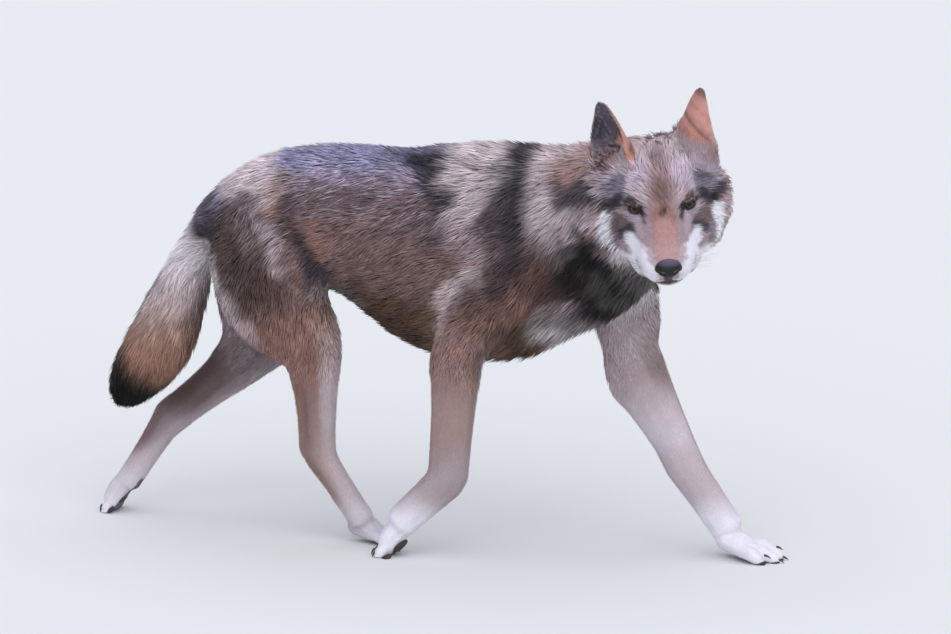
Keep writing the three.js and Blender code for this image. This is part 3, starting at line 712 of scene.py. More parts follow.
# the way each paw points: heading round the upright and pitch downwards, in degrees; breadth in metres
pawShapes = {
    "fore_right": {"heading": 180, "pitch": 42, "breadth": 0.076, "toe": 1.0},
    "fore_left": {"heading": -6, "pitch": 4, "breadth": 0.093, "toe": 1.0},
    "hind_right": {"heading": 2, "pitch": 6, "breadth": 0.068, "toe": 0.9},
    "hind_left": {"heading": 180, "pitch": 46, "breadth": 0.072, "toe": 0.9},
}
toeLanes = (-1.45, -0.5, 0.5, 1.45)
for pawName, paw in pawShapes.items():
    heading, pitch = math.radians(paw["heading"]), math.radians(paw["pitch"])
    level = np.array([math.cos(heading), math.sin(heading), 0])
    forward = math.cos(pitch) * level - (0, 0, math.sin(pitch))
    left = np.array([-math.sin(heading), math.cos(heading), 0])
    paw["axes"] = np.stack([forward, left, np.cross(forward, left)])
    paw["middle"] = cloud(pawName + "_paw").mean(0)
    paw["cloud"] = (cloud(pawName + "_paw") - paw["middle"]) @ paw["axes"].T
    front = paw["cloud"][paw["cloud"][:, 0] > np.percentile(paw["cloud"][:, 0], 60)]
    paw["lane"] = (front[:, 1].min() + front[:, 1].max()) / 2
    paw["sole"] = np.percentile(front[:, 2], 1)
    paw["tips"] = []
    for lane in toeLanes:
        across = paw["lane"] + lane * paw["breadth"] * 0.235
        mine = paw["cloud"][np.abs(paw["cloud"][:, 1] - across) < 0.1 * paw["breadth"]]
        end = mine[mine[:, 0] > mine[:, 0].max() - 0.0015].mean(0)
        paw["tips"].append(np.array([end[0], across, end[2]]))


def inPaw(points, paw):
    return (points - paw["middle"]) @ paw["axes"].T


def fromPaw(spot, paw):
    return np.asarray(spot) @ paw["axes"] + paw["middle"]


def soleShare(points, normals):  # 1 on the underside of the toes and the heel pad
    share = np.zeros(len(points))
    for paw in pawShapes.values():
        spot = inPaw(points, paw)
        near = (np.abs(spot[:, 0]) < 0.075) & (np.abs(spot[:, 1] - paw["lane"]) < 0.05)
        low = 1 - ramp(spot[:, 2], paw["sole"] + 0.004, paw["sole"] + 0.008)
        down = ramp(-normals @ paw["axes"][2], 0.65, 0.85)
        share = np.maximum(share, near * low * down)
    return share


# flesh that becomes one skin, with the eye solids filling their sockets under the lids
fleshNames = [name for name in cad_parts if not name.startswith(("eye", "ear"))]
skinShape = {
    "voxel": 0.0026, "smooth": 16, "melt": 60, "settle": 8, "share": 0.20,
    "steps": 8, "earDeep": 0.6, "soleDeep": 1.5, "farthest": 0.3,
}
depths = {
    "trunk": 14, "neck": 23, "upperArm": 8, "forearm": 1.6, "forePaw": 1.2,
    "thigh": 8, "shank": 3.2, "hock": 1.6, "hindPaw": 1.2, "tail": 15, "head": 8,
}
earShapes = {
    "right": {"root": (-84, -60, 34), "tip": (-100, -88, 147), "turn": -38},
    "left": {"root": (-84, 55, 34), "tip": (-100, 85, 157), "turn": 116},
}


def earPlace(points, ear):  # height above an ear's root and distance from its middle line
    off = points - ear["base"]
    up = off @ ear["axis"]
    return up, normOf(off - up[:, None] * ear["axis"])


for ear in earShapes.values():
    ear["base"] = fromHead(ear["root"])
    ear["axis"] = unit(fromHeadWay(np.subtract(ear["tip"], ear["root"])))
    turn = math.radians(ear["turn"])
    ear["open"] = unit(fromHeadWay((math.cos(turn), math.sin(turn), 0)))


def evaluated(piece):
    graph = bpy.context.evaluated_depsgraph_get()
    return bpy.data.meshes.new_from_object(piece.evaluated_get(graph), depsgraph=graph)


def scratch(mesh, name="scratch"):
    piece = bpy.data.objects.new(name, mesh)
    scene.collection.objects.link(piece)
    return piece


def drop(piece):
    bpy.data.objects.remove(piece)


def mergedCopy(name):
    shape = bmesh.new()
    shape.from_mesh(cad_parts[name].data)
    bmesh.ops.remove_doubles(shape, verts=shape.verts, dist=1e-6)
    mesh = bpy.data.meshes.new(name + "Copy")
    shape.to_mesh(mesh)
    shape.free()
    return mesh


def earCopy(side):  # a rounded ear whose root reaches down into the skull
    ear = earShapes[side]
    piece = scratch(mergedCopy("ear_" + side))
    rounding = piece.modifiers.new("rounding", "SUBSURF")
    rounding.levels = rounding.render_levels = 2
    mesh = evaluated(piece)
    drop(piece)
    normals = [Vector(normal.vector) for normal in mesh.vertex_normals]
    for vertex, normal in zip(mesh.vertices, normals):
        vertex.co += normal * 0.0011
        up = dot(np.array(vertex.co) - ear["base"], ear["axis"])
        if up < 0.016:
            vertex.co -= Vector(ear["axis"] * 0.016 * (1 - float(ramp(up, 0.002, 0.016))))
    return mesh


def neighbours(count, tris):
    pairs = np.sort(np.concatenate([tris[:, [0, 1]], tris[:, [1, 2]], tris[:, [2, 0]]]), axis=1)
    pairs = np.unique(pairs, axis=0)
    number = np.bincount(pairs.ravel(), minlength=count).astype(float)
    return pairs, np.maximum(number, 1)


def spreadOut(net, values):  # the average of each vertex's neighbours
    pairs, number = net
    flat = values.reshape(len(number), -1)
    out = np.empty_like(flat)
    for k in range(flat.shape[1]):
        out[:, k] = np.bincount(pairs[:, 0], flat[pairs[:, 1], k], len(number))
        out[:, k] += np.bincount(pairs[:, 1], flat[pairs[:, 0], k], len(number))
    return (out / number[:, None]).reshape(values.shape)


def soften(net, values, times, amount=0.6):
    for _ in range(times):
        values = lerp(values, spreadOut(net, values), amount)
    return values


def faceCross(co, tris):  # square to each triangle, twice its area long
    a, b, c = (co[tris[:, k]] for k in range(3))
    return np.cross(b - a, c - a)


def treeOf(co, tris):
    return BVHTree.FromPolygons(co.tolist(), tris.tolist())


def pointNormals(co, tris):
    face = faceCross(co, tris)
    total = np.zeros_like(co)
    for corner in range(3):
        for k in range(3):
            total[:, k] += np.bincount(tris[:, corner], face[:, k], len(co))
    return unit(total)


def meshFrom(name, co, faces):
    mesh = bpy.data.meshes.new(name)
    sides = faces.shape[1]
    mesh.vertices.add(len(co))
    mesh.vertices.foreach_set("co", co.astype(np.float32).ravel())
    mesh.loops.add(faces.size)
    mesh.loops.foreach_set("vertex_index", faces.astype(np.int32).ravel())
    mesh.polygons.add(len(faces))
    mesh.polygons.foreach_set("loop_start", np.arange(0, faces.size, sides, dtype=np.int32))
    mesh.polygons.foreach_set("use_smooth", np.full(len(faces), True))
    mesh.update(calc_edges=True)
    return mesh


def layPoints(mesh, name, values):  # a number or a colour at every vertex
    values = np.asarray(values, np.float32)
    if values.ndim == 1:
        mesh.attributes.new(name, "FLOAT", "POINT").data.foreach_set("value", values)
    else:
        mesh.color_attributes.new(name, "FLOAT_COLOR", "POINT").data.foreach_set("color", values.ravel())


def biggestIsland(co, tris):
    label = np.arange(len(co))
    while True:
        low = label[tris].min(1)
        fresh = label.copy()
        for corner in range(3):
            np.minimum.at(fresh, tris[:, corner], low)
        fresh = fresh[fresh]
        if (fresh == label).all():
            break
        label = fresh
    main = np.bincount(label).argmax()
    kept = label == main
    number = np.cumsum(kept) - 1
    return co[kept], number[tris[kept[tris[:, 0]]]]


def thinned(co, tris, share, loose):  # fewer triangles; loose marks the vertices that may go
    piece = scratch(meshFrom("thin", co, tris))
    fewer = piece.modifiers.new("fewer", "DECIMATE")
    fewer.ratio = share
    group = piece.vertex_groups.new(name="loose")
    group.add(np.flatnonzero(loose).tolist(), 1.0, "REPLACE")
    group.add(np.flatnonzero(~loose).tolist(), 0.12, "REPLACE")
    fewer.vertex_group = "loose"
    fewer.vertex_group_factor = 1.0
    mesh = evaluated(piece)
    drop(piece)
    return meshArrays(mesh)


def nearestNode(points):  # which solid each point came from
    names = list(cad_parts)
    corners, tris, owner, start = [], [], [], 0
    for index, name in enumerate(names):
        co, faces = meshArrays(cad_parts[name].data)
        corners.append(co)
        tris.append(faces + start)
        owner += [index] * len(faces)
        start += len(co)
    tree = treeOf(np.concatenate(corners), np.concatenate(tris))
    found = np.array([owner[tree.find_nearest(point)[2]] for point in points])
    return names, found


def headDepth(spots):
    side = np.abs(spots[:, 1])
    cheek = ramp(side, 48, 90) * (1 - ramp(spots[:, 2], 0, 36))
    depth = 3.2 + 8 * cheek + 12 * ramp(-spots[:, 0], 85, 135)
    depth = lerp(depth, 2.2, ramp(spots[:, 0], -6, 34))
    nearEye = normOf(mirrored(spots) - (4, 45, 0))
    return lerp(1.6, depth, ramp(nearEye, 18, 44))


def depthAt(co, share):  # how far under the outline the skin lies, in millimetres
    depth = share @ np.array([depths[bone["kind"]] for bone in bones], float)
    behind = 1 - ramp(alongTrunk(co), 0.06, 0.14)
    depth = lerp(depth, 2.5, 0.8 * kindShare(share, "thigh") * behind)
    return lerp(depth, headDepth(inHead(co)), kindShare(share, "head"))


def makeSkin():
    pile = bmesh.new()
    for mesh in [mergedCopy(name) for name in fleshNames + ["eye_left", "eye_right"]]:
        pile.from_mesh(mesh)
    for mesh in [earCopy(side) for side in earShapes]:
        pile.from_mesh(mesh)
    mesh = bpy.data.meshes.new("pile")
    pile.to_mesh(mesh)
    pile.free()
    piece = scratch(mesh)
    whole = piece.modifiers.new("whole", "REMESH")
    whole.mode = "VOXEL"
    whole.voxel_size = skinShape["voxel"]
    co, tris = biggestIsland(*meshArrays(evaluated(piece)))
    drop(piece)
    outline = treeOf(co, tris)
    print("skin remeshed:", len(tris), "triangles")

    spots = inHead(co)
    isHead = (spots[:, 0] > -150) & (np.abs(spots[:, 1]) < 130) & (spots[:, 2] > -125)
    isEar = np.zeros(len(co))
    isRoot = np.zeros(len(co))
    for ear in earShapes.values():
        up, off = earPlace(co, ear)
        isEar = np.maximum(isEar, ramp(up, 0.022, 0.034) * (1 - ramp(off, 0.055, 0.065)))
        isRoot = np.maximum(isRoot, hump(up, 0.008, 0.018) * (1 - ramp(off, 0.060, 0.075)))
    isPaw = co[:, 2] < 0.075
    net = neighbours(len(co), tris)
    share, _ = boneWeights(co)
    deep = depthAt(co, share)
    freedom = np.where(isPaw, 0.35, 1) * np.where(isHead, 0.45, 1)
    freedom = soften(net, lerp(freedom, 0.5, isEar), 6)[:, None]
    for _ in range(skinShape["smooth"]):
        co = co + freedom * 0.55 * (spreadOut(net, co) - co)
        co = co - freedom * 0.50 * (spreadOut(net, co) - co)
    melt = soften(net, np.maximum(ramp(deep, 5, 13) * (1 - isEar), isRoot), 8)[:, None]
    for _ in range(skinShape["melt"]):
        co = co + 0.6 * melt * (spreadOut(net, co) - co)
    for _ in range(skinShape["settle"]):
        co = co + freedom * (1 - 0.9 * isEar[:, None]) * 0.5 * (spreadOut(net, co) - co)
    co, tris = thinned(co, tris, skinShape["share"], ~(isHead | isPaw))
    print("skin thinned:", len(tris), "triangles")

    names, owner = nearestNode(co)
    ear = np.isin(owner, [names.index("ear_left"), names.index("ear_right")]).astype(float)
    net = neighbours(len(co), tris)
    share, _ = boneWeights(co)
    depth = lerp(depthAt(co, share), skinShape["earDeep"], ear)
    depth = lerp(depth, skinShape["soleDeep"], ramp(0.03 - co[:, 2], 0, 0.02))
    normals = pointNormals(co, tris)
    tree = treeOf(co, tris)
    farthest = skinShape["farthest"]
    room = np.full(len(co), farthest)
    for index, (spot, way) in enumerate(zip(co, -normals)):
        hit = tree.ray_cast(spot + way * 0.0005, way, farthest)
        if hit[3] is not None:
            room[index] = hit[3]
    for _ in range(4):  # thin places take the least room round them
        room = np.minimum(room, spreadOut(net, room))
    depth = np.minimum(depth / 1000, room * 0.3)
    depth = soften(net, depth, 12)
    calm = np.clip(depth / 0.010, 0.12, 1)[:, None] * (1 - 0.95 * ear[:, None])
    low, high = co.min(0), co.max(0)
    for _ in range(skinShape["steps"]):
        co = co - pointNormals(co, tris) * depth[:, None] / skinShape["steps"]
        for _ in range(2):
            co = co + 0.6 * calm * (spreadOut(net, co) - co)
    co[:, 2] = np.maximum(co[:, 2], floorGap)
    away = np.array([outline.find_nearest(spot)[3] for spot in co])
    depth = np.clip(soften(net, away, 3), 0.0006, 0.040)
    print("skin set in under the coat", (low - co.min(0)).round(3), (co.max(0) - high).round(3))
    return co, tris, depth, ear


skinCo, skinTris, skinDepth, skinEar = makeSkin()

# eyes, lids and mouth; places in head millimetres, mirrored for the two sides
eyeShape = {
    "at": (-1.0, 43.8, -0.5), "radius": 12.0, "gaze": (0.80, 0.02, 0.52), "iris": 35, "pupil": 15,
    "opening": (0.86, 0.30, 0.38), "halfWide": 11.4, "upper": 5.3, "lower": 4.3, "slant": 15, "lid": 1.7,
}
mouthShape = {
    "path": [(112, 0, -66), (96, 20, -76), (60, 30, -84), (25, 38, -82), (5, 44, -74)],
    "deep": 3.0, "wide": 2.4,
}


def eyeFrame(side):  # side is 1 for the wolf's left; outward, towards the outer corner, and up
    out = unit(np.array(eyeShape["opening"]) * (1, side, 1))
    corner = unit(np.cross(out, (0, 0, 1)) * side * -1)
    up = np.cross(corner, out) * -side
    slant = math.radians(eyeShape["slant"])
    cos, sin = math.cos(slant), math.sin(slant)
    middle = np.array(eyeShape["at"]) * (1, side, 1)
    return middle, out, cos * corner + sin * up, cos * up - sin * corner


def almond(x, y):  # below 0 inside the opening of the lids, in millimetres
    wide = eyeShape["halfWide"]
    t = np.clip(x / wide, -1, 1)
    arch = np.sqrt(np.maximum(1 - t * t, 0))
    top = eyeShape["upper"] * arch * (1 - 0.18 * t) + 0.8 * t
    bottom = -eyeShape["lower"] * arch * (1 + 0.22 * t) + 0.8 * t
    return np.maximum(np.maximum(y - top, bottom - y), np.abs(x) - wide)


def pathDistance(points, path):
    return np.min([offLine(points, a, b) for a, b in zip(path[:-1], path[1:])], axis=0)


# how far round eyes, lids, nose and lips the skin is finer, in metres, and the longest edge in each pass
faceDetail = {
    "eyes": 0.024, "lids": 0.019, "nose": 0.026, "lips": 0.010,
    "passes": (("eyes", 0.0022), ("mouth", 0.0020), ("eyes", 0.0014), ("lids", 0.0010)),
}


def finer(shape, where, length):  # cut the longer edges where the mask asks for it
    edges = [edge for edge in shape.edges if where(edge) and edge.calc_length() > length]
    bmesh.ops.subdivide_edges(shape, edges=edges, cuts=1, use_grid_fill=False)
    bmesh.ops.triangulate(shape, faces=[face for face in shape.faces if len(face.verts) > 3])


def refineFace(co, tris, fields):
    mesh = meshFrom("fine", co, tris)
    shape = bmesh.new()
    shape.from_mesh(mesh)
    layers = [shape.verts.layers.float.new(f"field{k}") for k in range(len(fields))]
    for layer, values in zip(layers, fields):
        for vertex, value in zip(shape.verts, values.tolist()):
            vertex[layer] = value
    eyes = [Vector(fromHead(np.array(eyeShape["at"]) * (1, side, 1))) for side in (-1, 1)]
    lips = mouthShape["path"] + [(x, -y, z) for x, y, z in mouthShape["path"]]
    lips = [Vector(fromHead(lerp(np.array(a), np.array(b), t))) for a, b in zip(lips[:-1], lips[1:])
            for t in (0, 0.33, 0.67) if np.sign(a[1] + 0.1) == np.sign(b[1] + 0.1)]
    nose = Vector(noseMiddle)

    def isNear(edge, part):
        spot = edge.verts[0].co
        if part != "mouth":
            return min((spot - eye).length for eye in eyes) < faceDetail[part]
        return ((spot - nose).length < faceDetail["nose"]
                or min((spot - lip).length for lip in lips) < faceDetail["lips"])

    for part, length in faceDetail["passes"]:
        finer(shape, lambda edge: isNear(edge, part), length)
    shape.to_mesh(mesh)
    fine = [np.array([vertex[layer] for vertex in shape.verts]) for layer in layers]
    shape.free()
    return (*meshArrays(mesh), fine)


def shapeFace(co, tris):
    spots = inHead(co)
    rim = np.zeros(len(co))
    inner = np.zeros(len(co))
    for side in (-1, 1):
        middle, out, corner, up = eyeFrame(side)
        off = spots - middle
        far = normOf(off)
        way = off / far[:, None]
        front = way @ out
        bend = np.arccos(np.clip(front, -1, 1)) * eyeShape["radius"]
        flat = np.stack([way @ corner, way @ up], 1)
        flat = flat / np.maximum(np.linalg.norm(flat, axis=1, keepdims=True), 1e-9) * bend[:, None]
        edge = almond(flat[:, 0], flat[:, 1])
        near = (far < 34) & (front > -0.35)
        radius = eyeShape["radius"]
        lid = radius + eyeShape["lid"] + 0.5 * hump(edge, 2.2, 1.4)
        wanted = lerp(lid, np.maximum(far, lid), ramp(edge, 3.0, 15.0))
        wanted = np.where(edge < -0.35, radius - 2.5, np.where(edge < 0.45, radius + 0.5, wanted))
        spots = np.where(near[:, None], middle + way * wanted[:, None], spots)
        rim = np.maximum(rim, near * (1 - ramp(edge, 1.2, 3.4)))
        inner = np.maximum(inner, near * (edge < 0.2))
    folded = mirrored(spots)
    lips = pathDistance(folded, mouthShape["path"])
    normals = pointNormals(fromHead(spots), tris) @ headBasis.T
    spots = spots - normals * (mouthShape["deep"] * hump(lips, 0, mouthShape["wide"]))[:, None]
    spots = spots + normals * (0.9 * hump(lips, 4.5, 2.0))[:, None]
    return fromHead(spots), rim, inner, lips


skinCo, skinTris, (skinDepth, skinEar) = refineFace(skinCo, skinTris, [skinDepth, skinEar])
skinCo, skinRim, skinInner, skinLips = shapeFace(skinCo, skinTris)
skinNormals = pointNormals(skinCo, skinTris)
skinTree = treeOf(skinCo, skinTris)
print("lids and lips shaped:", len(skinTris), "triangles")


def earInside(points, normals):  # 1 in the cup of an ear
    inside = np.zeros(len(points))
    for ear in earShapes.values():
        up = (points - ear["base"]) @ ear["axis"]
        line = ear["base"] + up[:, None] * ear["axis"] + 0.012 * ear["open"]
        away = normOf(points - line)
        facing = dot(unit(line - points), normals)
        near = (up > 0.005) & (up < 0.14) & (away < 0.06)
        inside = np.where(near, np.maximum(inside, ramp(facing, 0.0, 0.35)), inside)
    return inside


earFur = {  # how far up each leaf, in metres, the crown's long fur reaches
    "right": {"low": 0.006, "high": 0.022, "skirt": 20},
    "left": {"low": 0.030, "high": 0.052, "skirt": 13},
}


def earFacts(points, ear):  # each leaf's share, height above its root, and millimetres towards the crown
    spots = inHead(points)
    inward = 60 + 0.2 * np.maximum(spots[:, 2], 0) - np.abs(spots[:, 1])
    facts = {}
    for side, shape in earShapes.items():
        up, away = earPlace(points, shape)
        share = np.clip(ear, 0, 1) * (away < 0.07)
        facts[side] = (share, up, inward)
    return facts


def allMarkings(points, normals, ear):
    weights = markings(points, normals)
    inside = earInside(points, normals)
    streaks = ripple(points, 0.02, 12)
    for side, (share, up, inward) in earFacts(points, ear).items():
        fur = earFur[side]
        paint = Paint(points, "blush")
        paint.over(0.3 * ramp(streaks, -0.2, 0.8), "tan")
        paint.over(0.3 * ramp(up, 0.085, 0.12), "tan")
        paint.over(0.7 * ramp(up, 0.108, 0.122), "brown")
        if side == "left":
            edge = lerp(26, 6, ramp(up, 0.03, 0.12))
            paint.over(0.85 * ramp(-inward, edge - 8, edge - 1), "pale")
            # painted shade: a dark brown line across the back of the leaf where it creases
            paint.over(0.6 * hump(up - 0.0006 * inward, 0.055, 0.005) * ramp(inward, -22, -8), "brown")
            paint.over(0.45 * (1 - ramp(up, 0.02, 0.05)) * ramp(inward, -14, 6), "tan")
        else:
            curl = 18 * (1 - ramp(up, 0.022, 0.070))  # the rust edge folds in over the cup near its base
            cup = inside * (1 - ramp(inward, 20 - curl, 28 - curl))
            # painted shade in the hollow of the ear: slate and dark over the cup, darkest low down in it
            paint.over(cup, "slate")
            paint.over(0.45 * cup, "dark")
            paint.over(0.75 * cup * hump(up, 0.060, 0.028) * hump(inward, -14, 14), "dark")
            paint.over(0.45 * cup * (1 - ramp(up, 0.02, 0.05)), "lilac")
            paint.over(0.30 * cup * ramp(ripple(points, 0.006, 13), 0.3, 1.0), "cream")
            paint.over(0.8 * inside * hump(inward, 24 - curl, 4.5) * ramp(up, 0.02, 0.04), "brown")
            paint.over(0.7 * (1 - ramp(inward, -40, -28)) * (1 - 0.6 * inside), "pale")
            paint.over(0.7 * hump(up, 0.030, 0.006) * ramp(inward, 26, 34), "brown")
        own = share * ramp(up, fur["low"], fur["high"])
        weights = lerp(weights, paint.weights, own[:, None])
    return weights


# skin finish: the coat's own tones, taken towards the darker root tone as deep between the hairs (partly the
# underfur's tone, partly painted shade there), with leather at rims, lips and pads
def skinPaint():
    weights = allMarkings(skinCo + skinNormals * skinDepth[:, None], skinNormals, skinEar)
    # painted shade between the hairs: the skin takes a tone 70% of the way from the root tone to the middle
    # tone
    colour = weights @ lerp(toneTable[:, 0], toneTable[:, 1], 0.7)
    leather = linear("1d1818")
    bare = np.clip(skinRim * 0.95 + 0.9 * hump(skinLips, 0, 2.2), 0, 1)[:, None]
    colour = lerp(colour, leather, bare)
    under = soleShare(skinCo, skinNormals)[:, None]
    return lerp(colour, linear("2a2424"), under * 0.85), bare[:, 0]


def skinMaterial():
    constants = {"Roughness": 0.8, "Sheen Weight": 0.06, "Sheen Roughness": 0.5, "Specular IOR Level": 0.25}
    material, net, shader = newMaterial("skinAndDown", constants)
    bare = attribute(net, "bareSkin", 2)
    down = noise(net, 0.0018, 3)
    patches = noise(net, 0.02, 3)
    feed(shader, Base_Color=shaded(net, attribute(net, "skinTone", 0), 0.74 + down * 0.4 + patches * 0.16))
    feed(shader, Roughness=0.86 - bare * 0.42)
    feed(shader, Normal=bumped(net, down, 0.5, 0.0012))
    return material


def makeSkinPiece():
    mesh = meshFrom("skin", skinCo, skinTris)
    colour, bare = skinPaint()
    layPoints(mesh, "skinTone", np.column_stack([colour, np.ones(len(colour))]))
    layPoints(mesh, "bareSkin", bare)
    pieceFrom("skin", mesh, [skinMaterial()], fleshNames + ["ear_left", "ear_right"])


def roundGrid(across, up):  # unit sphere rows without doubled poles: vertices, faces
    turn = np.linspace(0, 2 * math.pi, across, endpoint=False)
    drop = np.linspace(0, math.pi, up + 1)[1:-1]
    rows = []
    for d in drop:
        ring = (np.cos(turn) * math.sin(d), np.sin(turn) * math.sin(d), np.full(across, math.cos(d)))
        rows.append(np.stack(ring, 1))
    co = np.concatenate([[[0, 0, 1]], *rows, [[0, 0, -1]]])
    faces = []
    for k in range(across):
        n = (k + 1) % across
        faces.append((0, 1 + k, 1 + n))
        for row in range(up - 2):
            a, b = 1 + row * across, 1 + (row + 1) * across
            faces += [(a + k, b + k, b + n), (a + k, b + n, a + n)]
        last = 1 + (up - 2) * across
        faces.append((len(co) - 1, last + n, last + k))
    return co, np.array(faces)


def eyeMaterial():
    constants = {"Roughness": 0.18, "Coat Weight": 0.22, "Coat Roughness": 0.03, "Specular IOR Level": 0.12}
    material, net, shader = newMaterial("wetEye", constants)
    fibres = noise(net, 0.0009, 3)
    reach = (attribute(net, "gazeAngle", 2) + (fibres - 0.5) * 3.0) * (1 / 60)
    iris, pupil = eyeShape["iris"] / 60, eyeShape["pupil"] / 60
    stops = [
        (0, linear("020202")), (pupil, linear("030303")), (pupil + 0.04, linear("2e1d12")),
        (iris * 0.72, linear("57402c")), (iris - 0.08, linear("38281d")), (iris, linear("0b0706")),
        (iris + 0.06, linear("120c0a")), (iris + 0.22, linear("2c211d")),
    ]
    feed(shader, Base_Color=net.node("ShaderNodeValToRGB", {"stops": stops}, [reach]))
    return material


def makeEyes():
    material = eyeMaterial()
    for side, name in ((-1, "right"), (1, "left")):
        co, faces = roundGrid(40, 30)
        middle = np.array(eyeShape["at"]) * (1, side, 1)
        gaze = unit(np.array(eyeShape["gaze"]) + (0, 0.10 * side, 0))
        angle = np.degrees(np.arccos(np.clip(co @ gaze, -1, 1)))
        bulge = 1 + 0.045 * np.clip(1 - (angle / 38) ** 2, 0, 1)
        spots = middle + co * bulge[:, None] * eyeShape["radius"]
        mesh = meshFrom("eye" + name.title(), fromHead(spots), faces)
        layPoints(mesh, "gazeAngle", angle)
        pieceFrom("eye" + name.title(), mesh, [material], ["eye_" + name])


noseShape = {"at": (107, 0, -46), "size": (15.5, 22.5, 17.0), "nostril": (0.72, 0.47, -0.08), "deep": 0.42}


def noseMaterial(low, high):
    constants = {"Roughness": 0.45, "Coat Weight": 0.22, "Coat Roughness": 0.3, "Specular IOR Level": 0.25}
    material, net, shader = newMaterial("noseLeather", constants)
    place = objectPlace(net)
    pebbles = net.node("ShaderNodeTexVoronoi", {}, {"Vector": place, "Scale": 620.0})
    mottle = noise(net, 0.006, 3)
    dark = mixColour(net, mottle, (*linear("09090a"), 1), (*linear("17171c"), 1))
    # painted sheen: the upper part of the nose leather turns a lighter violet-grey with height, standing in
    # for the sky's reflection on top
    height = net.node("ShaderNodeSeparateXYZ", {}, [place], 2)
    sheenSpan = {"From Min": lerp(low, high, 0.62), "From Max": lerp(low, high, 0.97), "To Max": 0.75}
    facing = net.node("ShaderNodeMapRange", {}, {"Value": height, **sheenSpan})
    feed(shader, Base_Color=mixColour(net, facing, dark, (*linear("645b78"), 1)))
    feed(shader, Roughness=0.34 + mottle * 0.26)
    feed(shader, Normal=bumped(net, pebbles, 0.35, 0.0006))
    return material


def makeNose():
    co, faces = roundGrid(96, 64)
    forward, side, up = co[:, 0], np.abs(co[:, 1]), co[:, 2]
    size = np.array(noseShape["size"])
    narrow = 1 - 0.28 * ramp(-up, 0.0, 0.9)  # the leather narrows to the lip
    shape = co * size
    shape[:, 1] *= narrow
    shape[:, 2] += 1.2 * hump(side, 0.55, 0.3) * ramp(forward, 0.1, 0.7)
    spot = np.array(noseShape["nostril"])
    off = np.stack([forward, side, up], 1) - unit(spot)
    pit = hump(normOf(off * (0.8, 1.0, 1.35)), 0, 0.24)
    slit = hump(up, -0.30, 0.11) * ramp(side, 0.55, 0.75) * ramp(forward, -0.1, 0.3)
    groove = hump(co[:, 1], 0, 0.055) * ramp(forward, 0.4, 0.8) * (1 - ramp(up, 0.0, 0.35))
    shape *= (1 - noseShape["deep"] * pit - 0.16 * slit - 0.10 * groove)[:, None]
    placed = fromHead(shape + noseShape["at"])
    leather = noseMaterial(float(placed[:, 2].min()), float(placed[:, 2].max()))
    pieceFrom("noseLeather", meshFrom("noseLeather", placed, faces), [leather], ["nose"])


makeSkinPiece()
makeEyes()
makeNose()
print("skin, eyes and nose made")


# claws, whiskers and pads: one shape each, set out by geometry nodes on points with their own way and size
def newTree(name, sizes):
    tree = bpy.data.node_groups.new(name, "GeometryNodeTree")
    tree.interface.new_socket(name="Geometry", in_out="OUTPUT", socket_type="NodeSocketGeometry")
    tree.interface.new_socket(name="Points", in_out="INPUT", socket_type="NodeSocketGeometry")
    kinds = {float: "NodeSocketFloat", int: "NodeSocketInt"}
    for label, value in sizes.items():
        made = tree.interface.new_socket(name=label, in_out="INPUT", socket_type=kinds[type(value)])
        made.default_value = value
    tree.interface.new_socket(name="Finish", in_out="INPUT", socket_type="NodeSocketMaterial")
    net = Wire(tree)
    labels = ["Points", *sizes, "Finish"]
    return tree, net, {label: net.node("NodeGroupInput", output=k) for k, label in enumerate(labels)}


def carried(net, name):  # an attribute that the points carry
    return net.node("GeometryNodeInputNamedAttribute", {"data_type": "FLOAT_VECTOR"}, {"Name": name})


def setOut(net, points, shape, finish, seed, unevenness):  # instances along each point's way, made real
    turned = net.node("FunctionNodeAlignRotationToVector", {"axis": "Z"}, {"Vector": carried(net, "way")})
    sway = {"Rotation": turned, "Vector": carried(net, "sway")}
    turned = net.node("FunctionNodeAlignRotationToVector", {"axis": "X", "pivot_axis": "Z"}, sway)
    luck = net.node("FunctionNodeRandomValue", {}, {2: 1 - unevenness, 3: 1 + unevenness, 8: seed}, 1)
    size = net.node("ShaderNodeVectorMath", {"operation": "SCALE"}, {0: carried(net, "extent"), 3: luck})
    placed = {"Points": points, "Instance": shape, "Rotation": turned, "Scale": size}
    many = net.node("GeometryNodeInstanceOnPoints", {}, placed)
    real = net.node("GeometryNodeRealizeInstances", {}, [many])
    smooth = net.node("GeometryNodeSetShadeSmooth", {}, {"Geometry": real})
    done = net.node("GeometryNodeSetMaterial", {}, {"Geometry": smooth, "Material": finish})
    net.node("NodeGroupOutput", {}, [done])


def thornTree():  # a tapered hook of unit length
    sizes = {
        "Root Radius": 0.2, "Tip Radius": 0.03, "Arch": 0.25,
        "Steps": 8, "Sides": 8, "Seed": 3, "Unevenness": 0.0,
    }
    tree, net, given = newTree("thorns", sizes)
    middle = net.node("ShaderNodeCombineXYZ", {}, {"X": given["Arch"], "Z": 0.5})
    spine = {"Resolution": given["Steps"], "Start": (0, 0, 0), "Middle": middle, "End": (0, 0, 1)}
    line = net.node("GeometryNodeCurveQuadraticBezier", {}, spine)
    ring = net.node("GeometryNodeCurvePrimitiveCircle", {}, {"Resolution": given["Sides"], "Radius": 1.0})
    along = net.node("GeometryNodeSplineParameter")
    radius = given["Root Radius"] + (given["Tip Radius"] - given["Root Radius"]) * along * along
    tube = {"Curve": line, "Profile Curve": ring, "Scale": radius, "Fill Caps": True}
    shape = net.node("GeometryNodeCurveToMesh", {}, tube)
    setOut(net, given["Points"], shape, given["Finish"], given["Seed"], given["Unevenness"])
    return tree


def padTree():  # a rounded cushion
    tree, net, given = newTree("pads", {"Fineness": 3, "Seed": 5, "Unevenness": 0.04})
    ball = net.node("GeometryNodeMeshIcoSphere", {}, {"Radius": 1.0, "Subdivisions": given["Fineness"]})
    setOut(net, given["Points"], ball, given["Finish"], given["Seed"], given["Unevenness"])
    return tree


